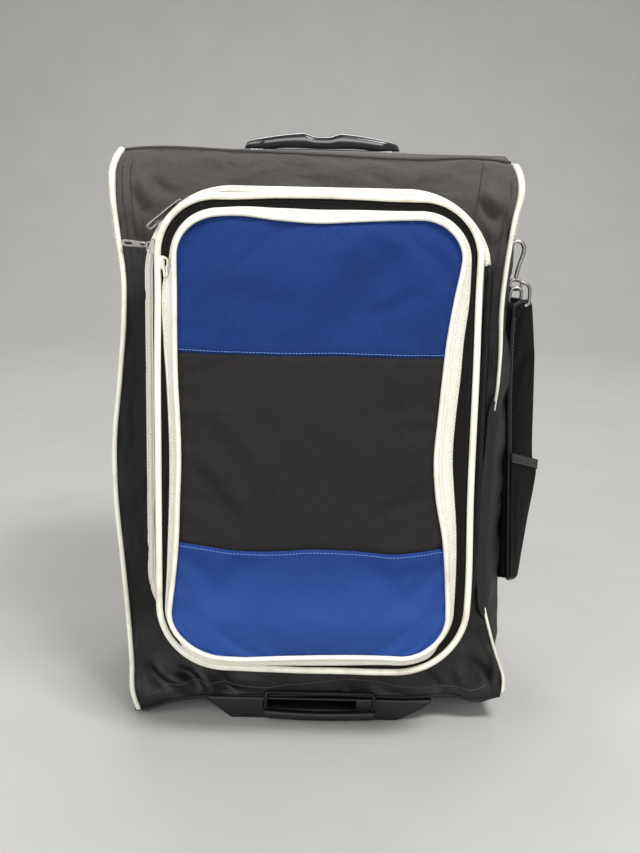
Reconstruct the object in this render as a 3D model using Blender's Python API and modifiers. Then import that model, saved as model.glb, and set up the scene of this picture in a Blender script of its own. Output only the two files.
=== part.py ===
"""A two-ball roller bag: soft body with a hinged front lid, a zipped shoe pocket on the lid,
a two-stage telescopic handle, rear wheels, a moulded front foot and a pouch hanging at the side.

Metres, +Z up, front facing -Y, floor at z = 0. Lengths are given in the bag's own frame, whose
centre plane is x = 0; the root empty moves that frame so that the bounding box is centred.
"""

import math

import bmesh
import bpy
from mathutils import Vector

# ---- driving dimensions -------------------------------------------------------------------
ROOT_AT = (-0.01795, 0.02535, 0.0)   # moves the bag's own frame to the row's centred frame
GAP = 0.0003                        # clearance left between pieces that touch

BODY_HALF_W = 0.173
BODY_LOW, BODY_HIGH = 0.022, 0.525
BODY_FRONT, BODY_BACK = -0.108, 0.119
FABRIC = 0.0035                     # padded fabric wall
SURROUND = 0.0032                   # front face fabric
PIPING_R = 0.0028

LID_HALF_W = 0.1375
LID_LOW, LID_HIGH = 0.078, 0.494
LID_CORNER = 0.065
LID_BACK, LID_FRONT = -0.1085, -0.1650
LID_AXIS = (0.150, -0.125, 0.286)   # the soft hinge rolls about this line
HINGE_LOW, HINGE_HIGH = 0.125, 0.433

POCKET_HALF_W = 0.1165
POCKET_LOW, POCKET_HIGH = 0.0965, 0.474
POCKET_CORNER = 0.040
POCKET_BACK, POCKET_FACE, POCKET_FRONT = -0.1687, -0.1743, -0.1783
SEAM_LOW, SEAM_HIGH = 0.198, 0.365  # between the pocket's three coloured panels
POCKET_AXIS = (-0.1215, -0.1760, 0.286)

FOOT_TOP_HALF, FOOT_BOTTOM_HALF = 0.100, 0.076
FOOT_FRONT, FOOT_BACK = -0.110, -0.050
GRAB_HALF = 0.0440                  # half width of the grab opening

WHEEL_R, WHEEL_W = 0.036, 0.026
WHEEL_X, WHEEL_Y = 0.1460, 0.094
HOUSING_X = (0.1180, 0.1730)
HOUSING_Y = (0.050, 0.1190)
HOUSING_Z = (0.010, 0.085)
AXLE_R = 0.0035

TUBE_X, TUBE_Y = 0.066, 0.100
TUBE_SIZES = ((0.0220, 0.0150), (0.0188, 0.0118), (0.0156, 0.0086))
TUBE_WALL = 0.0011
TUBE_LOW, TUBE_HIGH = 0.045, 0.5170
HANDLE_TOP = 0.529                  # top face of the handle housing
GRIP_HALF, GRIP_HIGH = 0.0815, 0.546
GRIP_Y = (0.087, 0.113)
LIP_FRONT, LIP_HIGH = 0.1165, 0.5365    # raised edge of the housing behind the grip

SIDE_Y = -0.010                     # the line of the ring, hook and pouch along the bag's side
RING_X = 0.1870
RING_TOP_Z, RING_LOW_Z = 0.458, 0.4395
EYE_Z = 0.4080                      # where the pouch ring hangs in the hook's eye
POUCH_Y = (-0.065, 0.045)
POUCH_TURN = math.radians(40)       # how far the pouch ring is twisted on its tab

SLIDER_LOW_Z = 0.440                # lower slider, on the lid's straight left side
SLIDER_HIGH_ANGLE = math.radians(127)
ARC_CENTRE = (-LID_HALF_W + LID_CORNER, LID_HIGH - LID_CORNER)
SLIDER_OUT = 0.0045                 # lid side to the slider's inner face
SLIDER_SIZE = (0.0035, 0.0100, 0.0130)
SLIDER_Y = -0.1165
BAIL_OUT = 0.0016                   # slider face to the pull's own axis


# ---- scene and materials ------------------------------------------------------------------
def clear_scene():
    for obj in list(bpy.data.objects):
        bpy.data.objects.remove(obj, do_unlink=True)


def new_collection(name):
    collection = bpy.data.collections.new(name)
    bpy.context.scene.collection.children.link(collection)
    return collection


def material(name, color, roughness, metallic=0.0):
    mat = bpy.data.materials.new(name)
    mat.use_nodes = True
    shader = mat.node_tree.nodes["Principled BSDF"]
    shader.inputs["Base Color"].default_value = (*color, 1.0)
    shader.inputs["Roughness"].default_value = roughness
    shader.inputs["Metallic"].default_value = metallic
    return mat


clear_scene()
PARTS = new_collection("bowling_roller_bag")
CUTTERS = new_collection("cutters")

BLACK_FABRIC = material("black_fabric", (0.042, 0.038, 0.036), 0.9)
BLUE_FABRIC = material("blue_fabric", (0.024, 0.073, 0.292), 0.85)
CREAM = material("cream_piping", (0.76, 0.74, 0.66), 0.55)
BLACK_BINDING = material("black_binding", (0.012, 0.012, 0.012), 0.6)
SATIN_PLASTIC = material("satin_plastic", (0.015, 0.015, 0.015), 0.5)
GLOSS_PLASTIC = material("gloss_plastic", (0.012, 0.012, 0.013), 0.2)
BOARD = material("board", (0.03, 0.03, 0.03), 0.7)
FOAM = material("foam", (0.05, 0.05, 0.055), 0.95)
ALUMINIUM = material("aluminium", (0.70, 0.71, 0.72), 0.35, 1.0)
NICKEL = material("nickel", (0.60, 0.58, 0.55), 0.3, 1.0)
STEEL = material("steel", (0.45, 0.45, 0.46), 0.35, 1.0)
TYRE = material("tyre", (0.02, 0.02, 0.02), 0.8)


# ---- frame: the root and the joint axes ---------------------------------------------------
def axis_empty(name, at, parent=None):
    """An empty at a place in the bag's own frame, for the pieces that turn or slide there."""
    empty = bpy.data.objects.new(name, None)
    empty.empty_display_size = 0.02
    PARTS.objects.link(empty)
    attach(empty, at, parent)
    return empty


def own_place(empty):
    """Where an axis empty stands in the bag's own frame, which starts at the root."""
    at = Vector()
    while empty.parent:
        at += empty.location
        empty = empty.parent
    return at


def attach(obj, at, parent):
    if parent is None:
        obj.location = at
        return
    obj.parent = parent
    obj.location = Vector(at) - own_place(parent)


ROOT = axis_empty("bag_root", ROOT_AT)


# ---- solids -------------------------------------------------------------------------------
def keep(obj, name, mat, at, parent=None, turn_y=0.0, turn_z=0.0):
    """Names a finished object and puts it with the parts, or with the cutters if it has no material."""
    obj.name = obj.data.name = name
    for collection in list(obj.users_collection):
        collection.objects.unlink(obj)
    obj.rotation_euler = (0.0, turn_y, turn_z)
    attach(obj, at, parent or ROOT)
    if mat is None:
        CUTTERS.objects.link(obj)
        obj.hide_render = True
        obj.display_type = "WIRE"
        return obj
    PARTS.objects.link(obj)
    obj.data.materials.clear()
    obj.data.materials.append(mat)
    return obj


def mesh_object(bm, name):
    bmesh.ops.recalc_face_normals(bm, faces=bm.faces)
    mesh = bpy.data.meshes.new(name)
    bm.to_mesh(mesh)
    bm.free()
    obj = bpy.data.objects.new(name, mesh)
    PARTS.objects.link(obj)
    return obj


def bevel(obj, width, segments=2, angle=40):
    """Rounds the edges sharper than an angle, after any Boolean already on the object."""
    mod = obj.modifiers.new("rounding", "BEVEL")
    mod.width = width
    mod.segments = segments
    mod.limit_method = "ANGLE"
    mod.angle_limit = math.radians(angle)
    return obj


def cut(obj, cutter, operation="DIFFERENCE"):
    mod = obj.modifiers.new(cutter.name, "BOOLEAN")
    mod.operation = operation
    mod.solver = "EXACT"
    mod.object = cutter
    return obj


def block(name, lo, hi, mat, parent=None, rounding=0.0, turn_y=0.0, turn_z=0.0):
    """A box between two corners given in the bag's own frame; turns are about its own centre."""
    lo, hi = Vector(lo), Vector(hi)
    bm = bmesh.new()
    bmesh.ops.create_cube(bm, size=1.0)
    bmesh.ops.scale(bm, vec=hi - lo, verts=bm.verts)
    obj = keep(mesh_object(bm, name), name, mat, (lo + hi) / 2, parent, turn_y, turn_z)
    if rounding:
        bevel(obj, rounding)
    return obj


def rod(name, start, end, radius, mat, parent=None, sides=20):
    """A cylinder between two points that share two of their coordinates."""
    start, end = Vector(start), Vector(end)
    bm = bmesh.new()
    bmesh.ops.create_cone(bm, cap_ends=True, segments=sides, radius1=radius, radius2=radius,
                          depth=(end - start).length)
    turn = (end - start).to_track_quat("Z", "Y").to_matrix()
    bmesh.ops.rotate(bm, cent=(0, 0, 0), matrix=turn, verts=bm.verts)
    return keep(mesh_object(bm, name), name, mat, (start + end) / 2, parent)


def ball(name, centre, radius, mat=None):
    bm = bmesh.new()
    bmesh.ops.create_uvsphere(bm, u_segments=40, v_segments=24, radius=radius)
    return keep(mesh_object(bm, name), name, mat, centre)


def turned(name, profile, at, mat, parent=None, sides=32):
    """A closed (radius, x) profile turned about the X axis through a point."""
    bm = bmesh.new()
    verts = [bm.verts.new((r, 0.0, x)) for r, x in reversed(profile)]
    for a, b in zip(verts, verts[1:] + verts[:1]):
        bm.edges.new((a, b))
    mesh = bpy.data.meshes.new(name)
    bm.to_mesh(mesh)
    bm.free()
    obj = bpy.data.objects.new(name, mesh)
    PARTS.objects.link(obj)
    keep(obj, name, mat, at, parent, turn_y=math.radians(90))
    screw = obj.modifiers.new("turn", "SCREW")
    screw.steps = screw.render_steps = sides
    screw.merge_threshold = 0.00001
    screw.use_merge_vertices = True
    return obj


def curve_mesh(curve, name):
    """The welded mesh of a curve object, as a new object in the curve's place."""
    PARTS.objects.link(curve)
    bpy.context.view_layer.update()
    evaluated = curve.evaluated_get(bpy.context.evaluated_depsgraph_get())
    mesh = bpy.data.meshes.new_from_object(evaluated)
    bpy.data.objects.remove(curve, do_unlink=True)
    bm = bmesh.new()
    bm.from_mesh(mesh)
    bpy.data.meshes.remove(mesh)
    bmesh.ops.remove_doubles(bm, verts=bm.verts, dist=0.00001)
    return mesh_object(bm, name)


def plate(name, outlines, front, back, mat, parent=None, rounding=0.0):
    """Flat outlines of (x, z) points in the bag's front plane, filled and given a thickness."""
    data = bpy.data.curves.new(name, "CURVE")
    data.dimensions = "2D"
    data.fill_mode = "BOTH"
    data.extrude = (back - front) / 2
    for outline in outlines:
        spline = data.splines.new("POLY")
        spline.points.add(len(outline) - 1)
        for point, (x, z) in zip(spline.points, outline):
            point.co = (x, z, 0.0, 1.0)
        spline.use_cyclic_u = True
    obj = curve_mesh(bpy.data.objects.new(name, data), name)
    for vert in obj.data.vertices:
        x, z, depth = vert.co
        vert.co = (x, -depth, z)
    keep(obj, name, mat, (0.0, (front + back) / 2, 0.0), parent)
    if rounding:
        bevel(obj, rounding)
    return obj


def wire(name, points, radius, mat, parent=None, closed=False, turn_z=0.0, at=(0.0, 0.0, 0.0)):
    """A round cord or wire through points given from a place in the bag's own frame."""
    data = bpy.data.curves.new(name, "CURVE")
    data.dimensions = "3D"
    data.bevel_depth = radius
    data.bevel_resolution = 2
    data.use_fill_caps = True
    spline = data.splines.new("POLY")
    spline.points.add(len(points) - 1)
    for point, place in zip(spline.points, points):
        point.co = (*place, 1.0)
    spline.use_cyclic_u = closed
    obj = curve_mesh(bpy.data.objects.new(name, data), name)
    return keep(obj, name, mat, at, parent, turn_z=turn_z)


# ---- outlines -----------------------------------------------------------------------------
def arc(centre, radius, start, end, steps):
    """Points along an arc, angles in degrees, both ends included."""
    return [(centre[0] + radius * math.cos(math.radians(start + (end - start) * i / steps)),
             centre[1] + radius * math.sin(math.radians(start + (end - start) * i / steps)))
            for i in range(steps + 1)]


def rounded(half_w, low, high, radius, offset=0.0, steps=8):
    """A rounded rectangle about x = 0, grown outwards by an offset."""
    r = radius + offset
    x = half_w - radius
    corners = (((x, low + radius), -90), ((x, high - radius), 0),
               ((-x, high - radius), 90), ((-x, low + radius), 180))
    points = []
    for centre, start in corners:
        points += arc(centre, r, start, start + 90, steps)
    return points


def lid_outline(offset=0.0):
    return rounded(LID_HALF_W, LID_LOW, LID_HIGH, LID_CORNER, offset)


def pocket_outline(offset=0.0):
    return rounded(POCKET_HALF_W, POCKET_LOW, POCKET_HIGH, POCKET_CORNER, offset)


def strip_of(outline, low, high):
    """The part of a convex outline between two heights, closed along them."""
    kept = [(x, z) for x, z in outline if low < z < high]
    right = max(x for x, _ in outline)
    left = min(x for x, _ in outline)
    if low > min(z for _, z in outline):
        kept += [(left, low), (right, low)]
    if high < max(z for _, z in outline):
        kept += [(right, high), (left, high)]
    mid_x = sum(x for x, _ in kept) / len(kept)
    mid_z = sum(z for _, z in kept) / len(kept)
    return sorted(kept, key=lambda p: math.atan2(p[1] - mid_z, p[0] - mid_x))


def at_depth(outline, y):
    return [(x, y, z) for x, z in outline]


# ---- the soft body ------------------------------------------------------------------------
def build_body():
    shell = block("body_shell", (-BODY_HALF_W, BODY_FRONT + SURROUND + GAP, BODY_LOW),
                  (BODY_HALF_W, BODY_BACK, BODY_HIGH), BLACK_FABRIC, rounding=0.006)
    inside = BODY_HALF_W - FABRIC
    cut(shell, block("cut_cavity", (-inside, BODY_FRONT - 0.02, BODY_LOW + FABRIC),
                     (inside, BODY_BACK - FABRIC, BODY_HIGH - FABRIC), None))
    cut(shell, block("cut_handle_hole", (-0.0985, 0.0795, BODY_HIGH - 0.02),
                     (0.0985, 0.1085, BODY_HIGH + 0.02), None))
    for side, sign in (("left", -1), ("right", 1)):
        xs = sorted((sign * (HOUSING_X[0] - GAP), sign * 0.2))
        cut(shell, block(f"cut_wheel_corner_{side}", (xs[0], HOUSING_Y[0] - GAP, -0.02),
                         (xs[1], 0.2, HOUSING_Z[1] + GAP), None))
    plate("front_surround", [rounded(BODY_HALF_W, BODY_LOW, BODY_HIGH, 0.010),
                             rounded(LID_HALF_W, LID_LOW, LID_HIGH, LID_CORNER, -0.006)],
          BODY_FRONT, BODY_FRONT + SURROUND, BLACK_FABRIC)
    for side, sign in (("left", -1), ("right", 1)):
        x = sign * (BODY_HALF_W + GAP + PIPING_R)
        path = [(x, BODY_FRONT, BODY_LOW - 0.010 + i * 0.051) for i in range(11)]
        wire(f"front_piping_{side}", path, PIPING_R, CREAM)


def build_lining():
    board_x = BODY_HALF_W - FABRIC - 0.0005
    block("back_board", (-0.150, 0.1090, 0.090), (0.150, 0.1150, 0.520), BOARD, rounding=0.0015)
    block("base_board", (-board_x, -0.1030, BODY_LOW + FABRIC + GAP),
          (board_x, HOUSING_Y[0] - 0.001, BODY_LOW + FABRIC + 0.006), BOARD, rounding=0.001)
    ball_low, ball_high = (0.0, -0.002, 0.163), (0.0, -0.002, 0.393)
    lower = block("ball_cup_lower", (-0.110, -0.092, 0.0320), (0.110, 0.048, 0.078), FOAM)
    upper = block("ball_cup_upper", (-0.150, -0.098, 0.262), (0.150, 0.091, 0.292), FOAM)
    cut(lower, ball("cut_ball_low", ball_low, 0.112))
    cut(upper, ball("cut_ball_mid", ball_low, 0.1125))
    cut(upper, ball("cut_ball_high", ball_high, 0.1125))


# ---- base: front foot, wheels -------------------------------------------------------------
def build_foot():
    top, shoulder = BODY_LOW - GAP, 0.0135
    outline = [(-FOOT_BOTTOM_HALF, 0.0), (FOOT_BOTTOM_HALF, 0.0),
               (0.094, shoulder), (FOOT_TOP_HALF, top), (-FOOT_TOP_HALF, top), (-0.094, shoulder)]
    foot = plate("front_foot", [outline], FOOT_FRONT, FOOT_BACK, SATIN_PLASTIC)
    bevel(foot, 0.0016)
    cut(foot, block("cut_grab_gap", (-GRAB_HALF, FOOT_FRONT + 0.011, -0.01),
                    (GRAB_HALF, FOOT_BACK + 0.02, 0.015), None))
    cut(foot, block("cut_grab_mouth", (-GRAB_HALF, FOOT_FRONT - 0.01, 0.0105),
                    (GRAB_HALF, FOOT_BACK - 0.012, 0.0195), None))
    cut(foot, block("cut_grab_base", (-GRAB_HALF, FOOT_FRONT - 0.01, -0.01),
                    (GRAB_HALF, FOOT_FRONT + 0.02, 0.0022), None))
    screws = ((-0.070, -0.094), (0.070, -0.094), (-0.070, -0.062), (0.070, -0.062))
    for number, (x, y) in enumerate(screws, 1):
        cut(foot, rod(f"cut_foot_screw_{number}", (x, y, -0.01), (x, y, 0.04), 0.0030, None, sides=16))
        rod(f"foot_screw_{number}", (x, y, 0.0015), (x, y, BODY_LOW - GAP), 0.0026, STEEL, sides=16)


def build_wheel(side, sign):
    wheel_at = (sign * WHEEL_X, WHEEL_Y, WHEEL_R)
    xs = sorted((sign * HOUSING_X[0], sign * HOUSING_X[1]))
    housing = block(f"wheel_housing_{side}", (xs[0], HOUSING_Y[0], HOUSING_Z[0]),
                    (xs[1], HOUSING_Y[1], HOUSING_Z[1]), SATIN_PLASTIC, rounding=0.003)
    well = WHEEL_W / 2 + 0.0025
    cut(housing, rod(f"cut_wheel_well_{side}", (sign * WHEEL_X - well, WHEEL_Y, WHEEL_R),
                     (sign * WHEEL_X + well, WHEEL_Y, WHEEL_R), WHEEL_R + 0.005, None, sides=40))
    cut(housing, rod(f"cut_axle_bore_{side}", (sign * 0.10, WHEEL_Y, WHEEL_R),
                     (sign * 0.19, WHEEL_Y, WHEEL_R), AXLE_R + GAP, None))
    rod(f"axle_{side}", (sign * (HOUSING_X[0] + 0.001), WHEEL_Y, WHEEL_R),
        (sign * (HOUSING_X[1] - 0.001), WHEEL_Y, WHEEL_R), AXLE_R, STEEL)

    axis = axis_empty(f"wheel_axis_{side}", wheel_at, ROOT)
    half = WHEEL_W / 2
    crown = [(WHEEL_R * r, half * x) for r, x in
             ((0.75, -0.92), (0.88, -1.0), (0.96, -0.8), (1.0, -0.4), (1.0, 0.4), (0.96, 0.8),
              (0.88, 1.0), (0.75, 0.92))]
    turned(f"tyre_{side}", crown, wheel_at, TYRE, axis)
    rim_out, hub = WHEEL_R * 0.75 - GAP, 0.0118
    rim = [(hub, -0.010), (hub + 0.003, -0.010), (hub + 0.004, -0.004), (rim_out - 0.004, -0.004),
           (rim_out - 0.003, -0.0115), (rim_out, -0.0115)]
    turned(f"wheel_rim_{side}", rim + [(r, -x) for r, x in reversed(rim)], wheel_at,
           SATIN_PLASTIC, axis)
    ring = [(AXLE_R + GAP, -0.008), (hub - GAP, -0.008), (hub - GAP, 0.008), (AXLE_R + GAP, 0.008)]
    turned(f"wheel_bearing_{side}", ring, wheel_at, STEEL, axis)


# ---- telescopic handle --------------------------------------------------------------------
def tube(name, x, stage, low, high, mat, parent=None):
    """A flat-sided tube standing on the handle's line, one of the nested stages."""
    wide, deep = TUBE_SIZES[stage]
    corner = deep * 0.3
    sleeve = bpy.data.curves.new(name, "CURVE")
    sleeve.dimensions = "2D"
    sleeve.fill_mode = "BOTH"
    sleeve.extrude = (high - low) / 2
    for shrink in (0.0, TUBE_WALL):
        outline = rounded(wide / 2, -deep / 2, deep / 2, corner, -shrink, steps=3)
        spline = sleeve.splines.new("POLY")
        spline.points.add(len(outline) - 1)
        for point, (px, py) in zip(spline.points, outline):
            point.co = (px, py, 0.0, 1.0)
        spline.use_cyclic_u = True
    obj = curve_mesh(bpy.data.objects.new(name, sleeve), name)
    return keep(obj, name, mat, (x, TUBE_Y, (low + high) / 2), parent)


def grip_outline():
    """Half-arched grip seen from the front, with a shallow thumb notch over the button."""
    low = HANDLE_TOP + GAP
    notch, dip = 0.020, 0.0025
    top = [(GRIP_HALF, low), (GRIP_HALF, low + 0.002), (GRIP_HALF - 0.004, low + 0.006),
           (GRIP_HALF - 0.014, low + 0.0105), (GRIP_HALF * 0.6, GRIP_HIGH - 0.0025),
           (notch + 0.002, GRIP_HIGH), (notch - 0.004, GRIP_HIGH - dip)]
    finger, lift = 0.050, 0.0072
    under = [(-finger, low), (-finger + 0.004, low + lift), (finger - 0.004, low + lift),
             (finger, low)]
    return top + [(-x, z) for x, z in reversed(top)] + under


def build_handle():
    housing = block("handle_housing", (-0.1035, 0.0740, BODY_HIGH + GAP), (0.1035, 0.1190, HANDLE_TOP),
                    SATIN_PLASTIC)
    neck = block("cut_housing_neck", (-0.0980, 0.0800, 0.4980), (0.0980, 0.1080, HANDLE_TOP - 0.001),
                 None)
    cut(housing, neck, "UNION")
    lip = block("cut_housing_lip", (-0.0900, LIP_FRONT, HANDLE_TOP - 0.002), (0.0900, 0.1190, LIP_HIGH), None)
    cut(housing, lip, "UNION")
    bracket = block("handle_bottom_bracket", (-0.090, 0.0880, 0.0340), (0.090, 0.1140, 0.0500),
                    SATIN_PLASTIC)
    lower = axis_empty("handle_lower_slide", (0.0, TUBE_Y, TUBE_LOW), ROOT)
    upper = axis_empty("handle_upper_slide", (0.0, TUBE_Y, TUBE_LOW), lower)
    wide, deep = TUBE_SIZES[0]
    for side, sign in (("left", -1), ("right", 1)):
        x = sign * TUBE_X
        socket = block(f"cut_tube_socket_{side}", (x - wide / 2 - GAP, TUBE_Y - deep / 2 - GAP, 0.0420),
                       (x + wide / 2 + GAP, TUBE_Y + deep / 2 + GAP, TUBE_HIGH), None)
        mouth = block(f"cut_tube_mouth_{side}",
                      (x - TUBE_SIZES[1][0] / 2 - 0.0004, TUBE_Y - TUBE_SIZES[1][1] / 2 - 0.0004, 0.5),
                      (x + TUBE_SIZES[1][0] / 2 + 0.0004, TUBE_Y + TUBE_SIZES[1][1] / 2 + 0.0004, 0.6),
                      None)
        cut(housing, socket)
        cut(housing, mouth)
        cut(bracket, socket)
        tube(f"handle_outer_tube_{side}", x, 0, TUBE_LOW, TUBE_HIGH - GAP, ALUMINIUM)
        tube(f"handle_middle_tube_{side}", x, 1, TUBE_LOW + 0.010, HANDLE_TOP - 0.0005, ALUMINIUM, lower)
        tube(f"handle_inner_tube_{side}", x, 2, TUBE_LOW + 0.020, GRIP_HIGH - 0.0125, ALUMINIUM, upper)
    bevel(housing, 0.0012)
    bevel(bracket, 0.0012)

    grip = plate("handle_grip", [grip_outline()], GRIP_Y[0], GRIP_Y[1], GLOSS_PLASTIC)
    keep(grip, "handle_grip", GLOSS_PLASTIC, (0.0, sum(GRIP_Y) / 2, 0.0), upper)
    wide, deep = TUBE_SIZES[2]
    for side, sign in (("left", -1), ("right", 1)):
        x = sign * TUBE_X
        cut(grip, block(f"cut_grip_socket_{side}", (x - wide / 2 - GAP, TUBE_Y - deep / 2 - GAP, 0.51),
                        (x + wide / 2 + GAP, TUBE_Y + deep / 2 + GAP, GRIP_HIGH - 0.0120), None))
    cut(grip, block("cut_button_pocket", (-0.0125, 0.0925, GRIP_HIGH - 0.0075),
                    (0.0125, 0.1075, GRIP_HIGH + 0.01), None))
    bevel(grip, 0.0018)
    press = axis_empty("button_press", (0.0, TUBE_Y, GRIP_HIGH), upper)
    block("grip_button", (-0.0120, 0.0930, GRIP_HIGH - 0.0045), (0.0120, 0.1070, GRIP_HIGH - 0.0008),
          SATIN_PLASTIC, press, rounding=0.0008)


# ---- lid and shoe pocket ------------------------------------------------------------------
def open_on_hinge_side(band, sign, low, high):
    """Cuts a ring open along the side where its hinge runs."""
    xs = sorted((sign * 0.120, sign * 0.200))
    return cut(band, block(f"cut_{band.name}", (xs[0], -0.2, low), (xs[1], 0.0, high), None))


def build_lid():
    lid = axis_empty("lid_axis", LID_AXIS, ROOT)
    plate("lid_gusset", [lid_outline(), lid_outline(-0.0030)], LID_FRONT, LID_BACK, BLACK_FABRIC, lid)
    plate("lid_inner_panel", [lid_outline(-0.0033)], LID_BACK - 0.0085, LID_BACK - 0.0045, BOARD, lid)
    plate("lid_front_ring", [lid_outline(), pocket_outline(-0.008)],
          LID_FRONT - GAP - 0.003, LID_FRONT - GAP, BLACK_FABRIC, lid)
    wire("lid_piping", at_depth(lid_outline(), LID_FRONT - 0.0066), 0.0030, CREAM, lid, closed=True)
    lid_tape = plate("main_zip_tape_lid", [lid_outline(0.0018), lid_outline(GAP)],
                     LID_BACK - 0.0090, LID_BACK - 0.0030, CREAM, lid)
    open_on_hinge_side(lid_tape, 1, HINGE_LOW, HINGE_HIGH)
    body_tape = plate("main_zip_tape_body", [lid_outline(0.0062), lid_outline(0.0012)],
                      BODY_FRONT - 0.0024, BODY_FRONT - GAP, CREAM)
    open_on_hinge_side(body_tape, 1, HINGE_LOW, HINGE_HIGH)
    block("lid_hinge_strip", (LID_HALF_W + 0.0010, BODY_FRONT - 0.0090, HINGE_LOW + GAP),
          (LID_HALF_W + 0.0026, BODY_FRONT - GAP, HINGE_HIGH - GAP), BLACK_BINDING)
    return lid


def build_pocket(lid):
    flap = axis_empty("pocket_axis", POCKET_AXIS, lid)
    rows = (("bottom", 0.0, SEAM_LOW - GAP / 2, BLUE_FABRIC),
            ("middle", SEAM_LOW + GAP / 2, SEAM_HIGH - GAP / 2, BLACK_FABRIC),
            ("top", SEAM_HIGH + GAP / 2, 1.0, BLUE_FABRIC))
    for row, low, high, mat in rows:
        plate(f"pocket_panel_{row}", [strip_of(pocket_outline(), low, high)],
              POCKET_FRONT, POCKET_FACE, mat, flap)
    plate("pocket_zip_tape", [pocket_outline(0.0030), pocket_outline(-0.0015)],
          POCKET_FACE + GAP, POCKET_BACK, CREAM, flap)
    wire("pocket_piping", at_depth(pocket_outline(0.0035), POCKET_FACE - 0.0034), 0.0030, CREAM,
         flap, closed=True)
    return flap


# ---- zip sliders and pulls ----------------------------------------------------------------
def zip_slider(name, at, turn_y, mat, parent):
    """A slider whose face looks to -X before it is turned, with a bail arched along the zip."""
    thick, deep, tall = SLIDER_SIZE
    slider = block(name, Vector(at) - Vector((0.0, deep / 2, tall / 2)),
                   Vector(at) + Vector((thick, deep / 2, tall / 2)), mat, parent)
    keep(slider, name, mat, at, parent, turn_y=turn_y)
    for vert in slider.data.vertices:
        vert.co.x += thick / 2
    rise = 2 * BAIL_OUT
    bail = [(0.001, -0.0048), (-rise - 0.0011, -0.0041), (-rise - 0.0011, 0.0041), (0.001, 0.0048),
            (0.001, 0.0036), (-rise, 0.0031), (-rise, -0.0031), (0.001, -0.0036)]
    arch = plate(f"cut_bail_{name}", [bail], -0.0009, 0.0009, None)
    keep(arch, f"cut_bail_{name}", None, at, parent, turn_y=turn_y)
    return cut(slider, arch, "UNION")


def zip_pull(name, at, turn_y, length, mat, parent):
    """A flat tab that points to -X before it is turned, with an eye for the bail and a slot."""
    half_w, half_t = 0.0045, 0.0007
    tab = block(name, (-length, -half_w, -half_t), (0.0009, half_w, half_t), mat)
    for vert in tab.data.vertices:
        vert.co.x += (0.0009 - length) / 2
    keep(tab, name, mat, at, parent, turn_y=turn_y)
    for part, start, end, half in (("eye", -0.0056, -0.0009, 0.0022),
                                   ("slot", -length + 0.0030, -length + 0.0085, 0.0028)):
        hole = block(f"cut_{name}_{part}", (start, -half, -0.01), (end, half, 0.01), None)
        for vert in hole.data.vertices:
            vert.co.x += (start + end) / 2
        keep(hole, f"cut_{name}_{part}", None, at, parent, turn_y=turn_y)
        cut(tab, hole)
    return tab


def on_zip(angle, out):
    """A place outside the lid's upper left corner arc, at an angle about the arc's centre."""
    radius = LID_CORNER + out
    return (ARC_CENTRE[0] + radius * math.cos(angle), SLIDER_Y,
            ARC_CENTRE[1] + radius * math.sin(angle))


def build_main_sliders():
    face = SLIDER_OUT + SLIDER_SIZE[0]
    low_at = (-LID_HALF_W - face, SLIDER_Y, SLIDER_LOW_Z)
    low_run = axis_empty("slider_lower_run", low_at, ROOT)
    zip_slider("main_zip_slider_lower", low_at, 0.0, NICKEL, low_run)
    low_pin = (low_at[0] - BAIL_OUT, SLIDER_Y, SLIDER_LOW_Z)
    zip_pull("main_zip_pull_lower", low_pin, 0.0, 0.027, NICKEL,
             axis_empty("pull_lower_axis", low_pin, low_run))

    turn = math.pi - SLIDER_HIGH_ANGLE
    high_run = axis_empty("slider_upper_run", (ARC_CENTRE[0], SLIDER_Y, ARC_CENTRE[1]), ROOT)
    zip_slider("main_zip_slider_upper", on_zip(SLIDER_HIGH_ANGLE, face), turn, NICKEL, high_run)
    high_pin = on_zip(SLIDER_HIGH_ANGLE, face + BAIL_OUT)
    zip_pull("main_zip_pull_upper", high_pin, turn - math.radians(80), 0.033, NICKEL,
             axis_empty("pull_upper_axis", high_pin, high_run))


def build_pocket_slider(lid):
    """The pocket zip's slider, parked at the top of its left run on the lid's front."""
    at = (-0.1300, LID_FRONT - 0.0062, 0.436)
    run = axis_empty("pocket_slider_run", at, lid)
    slider = block("pocket_zip_slider", (at[0] - 0.0030, at[1] - 0.0018, at[2] - 0.0055),
                   (at[0] + 0.0030, at[1] + 0.0018, at[2] + 0.0055), CREAM, run, rounding=0.0008)
    return slider


# ---- ring, snap hook and pouch at the side -------------------------------------------------
def loop(width, low, high, radius, steps=4):
    """A closed rounded loop in the Y-Z plane about y = 0."""
    return [(0.0, y, z) for y, z in rounded(width / 2, low, high, radius, steps=steps)]


def build_side_ring():
    tab = block("side_ring_tab", (BODY_HALF_W + GAP, SIDE_Y - 0.0110, RING_TOP_Z - 0.006),
                (RING_X + 0.0040, SIDE_Y + 0.0110, RING_TOP_Z + 0.018), BLACK_BINDING)
    cut(tab, rod("cut_tab_bore", (RING_X, SIDE_Y - 0.03, RING_TOP_Z), (RING_X, SIDE_Y + 0.03, RING_TOP_Z),
                 0.0021, None))
    axis = axis_empty("side_ring_axis", (RING_X, SIDE_Y, RING_TOP_Z), ROOT)
    wire("side_ring", loop(0.029, RING_LOW_Z - RING_TOP_Z, 0.0, 0.0045), 0.0015, NICKEL, axis,
         closed=True, at=(RING_X, SIDE_Y, RING_TOP_Z))
    return axis


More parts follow.
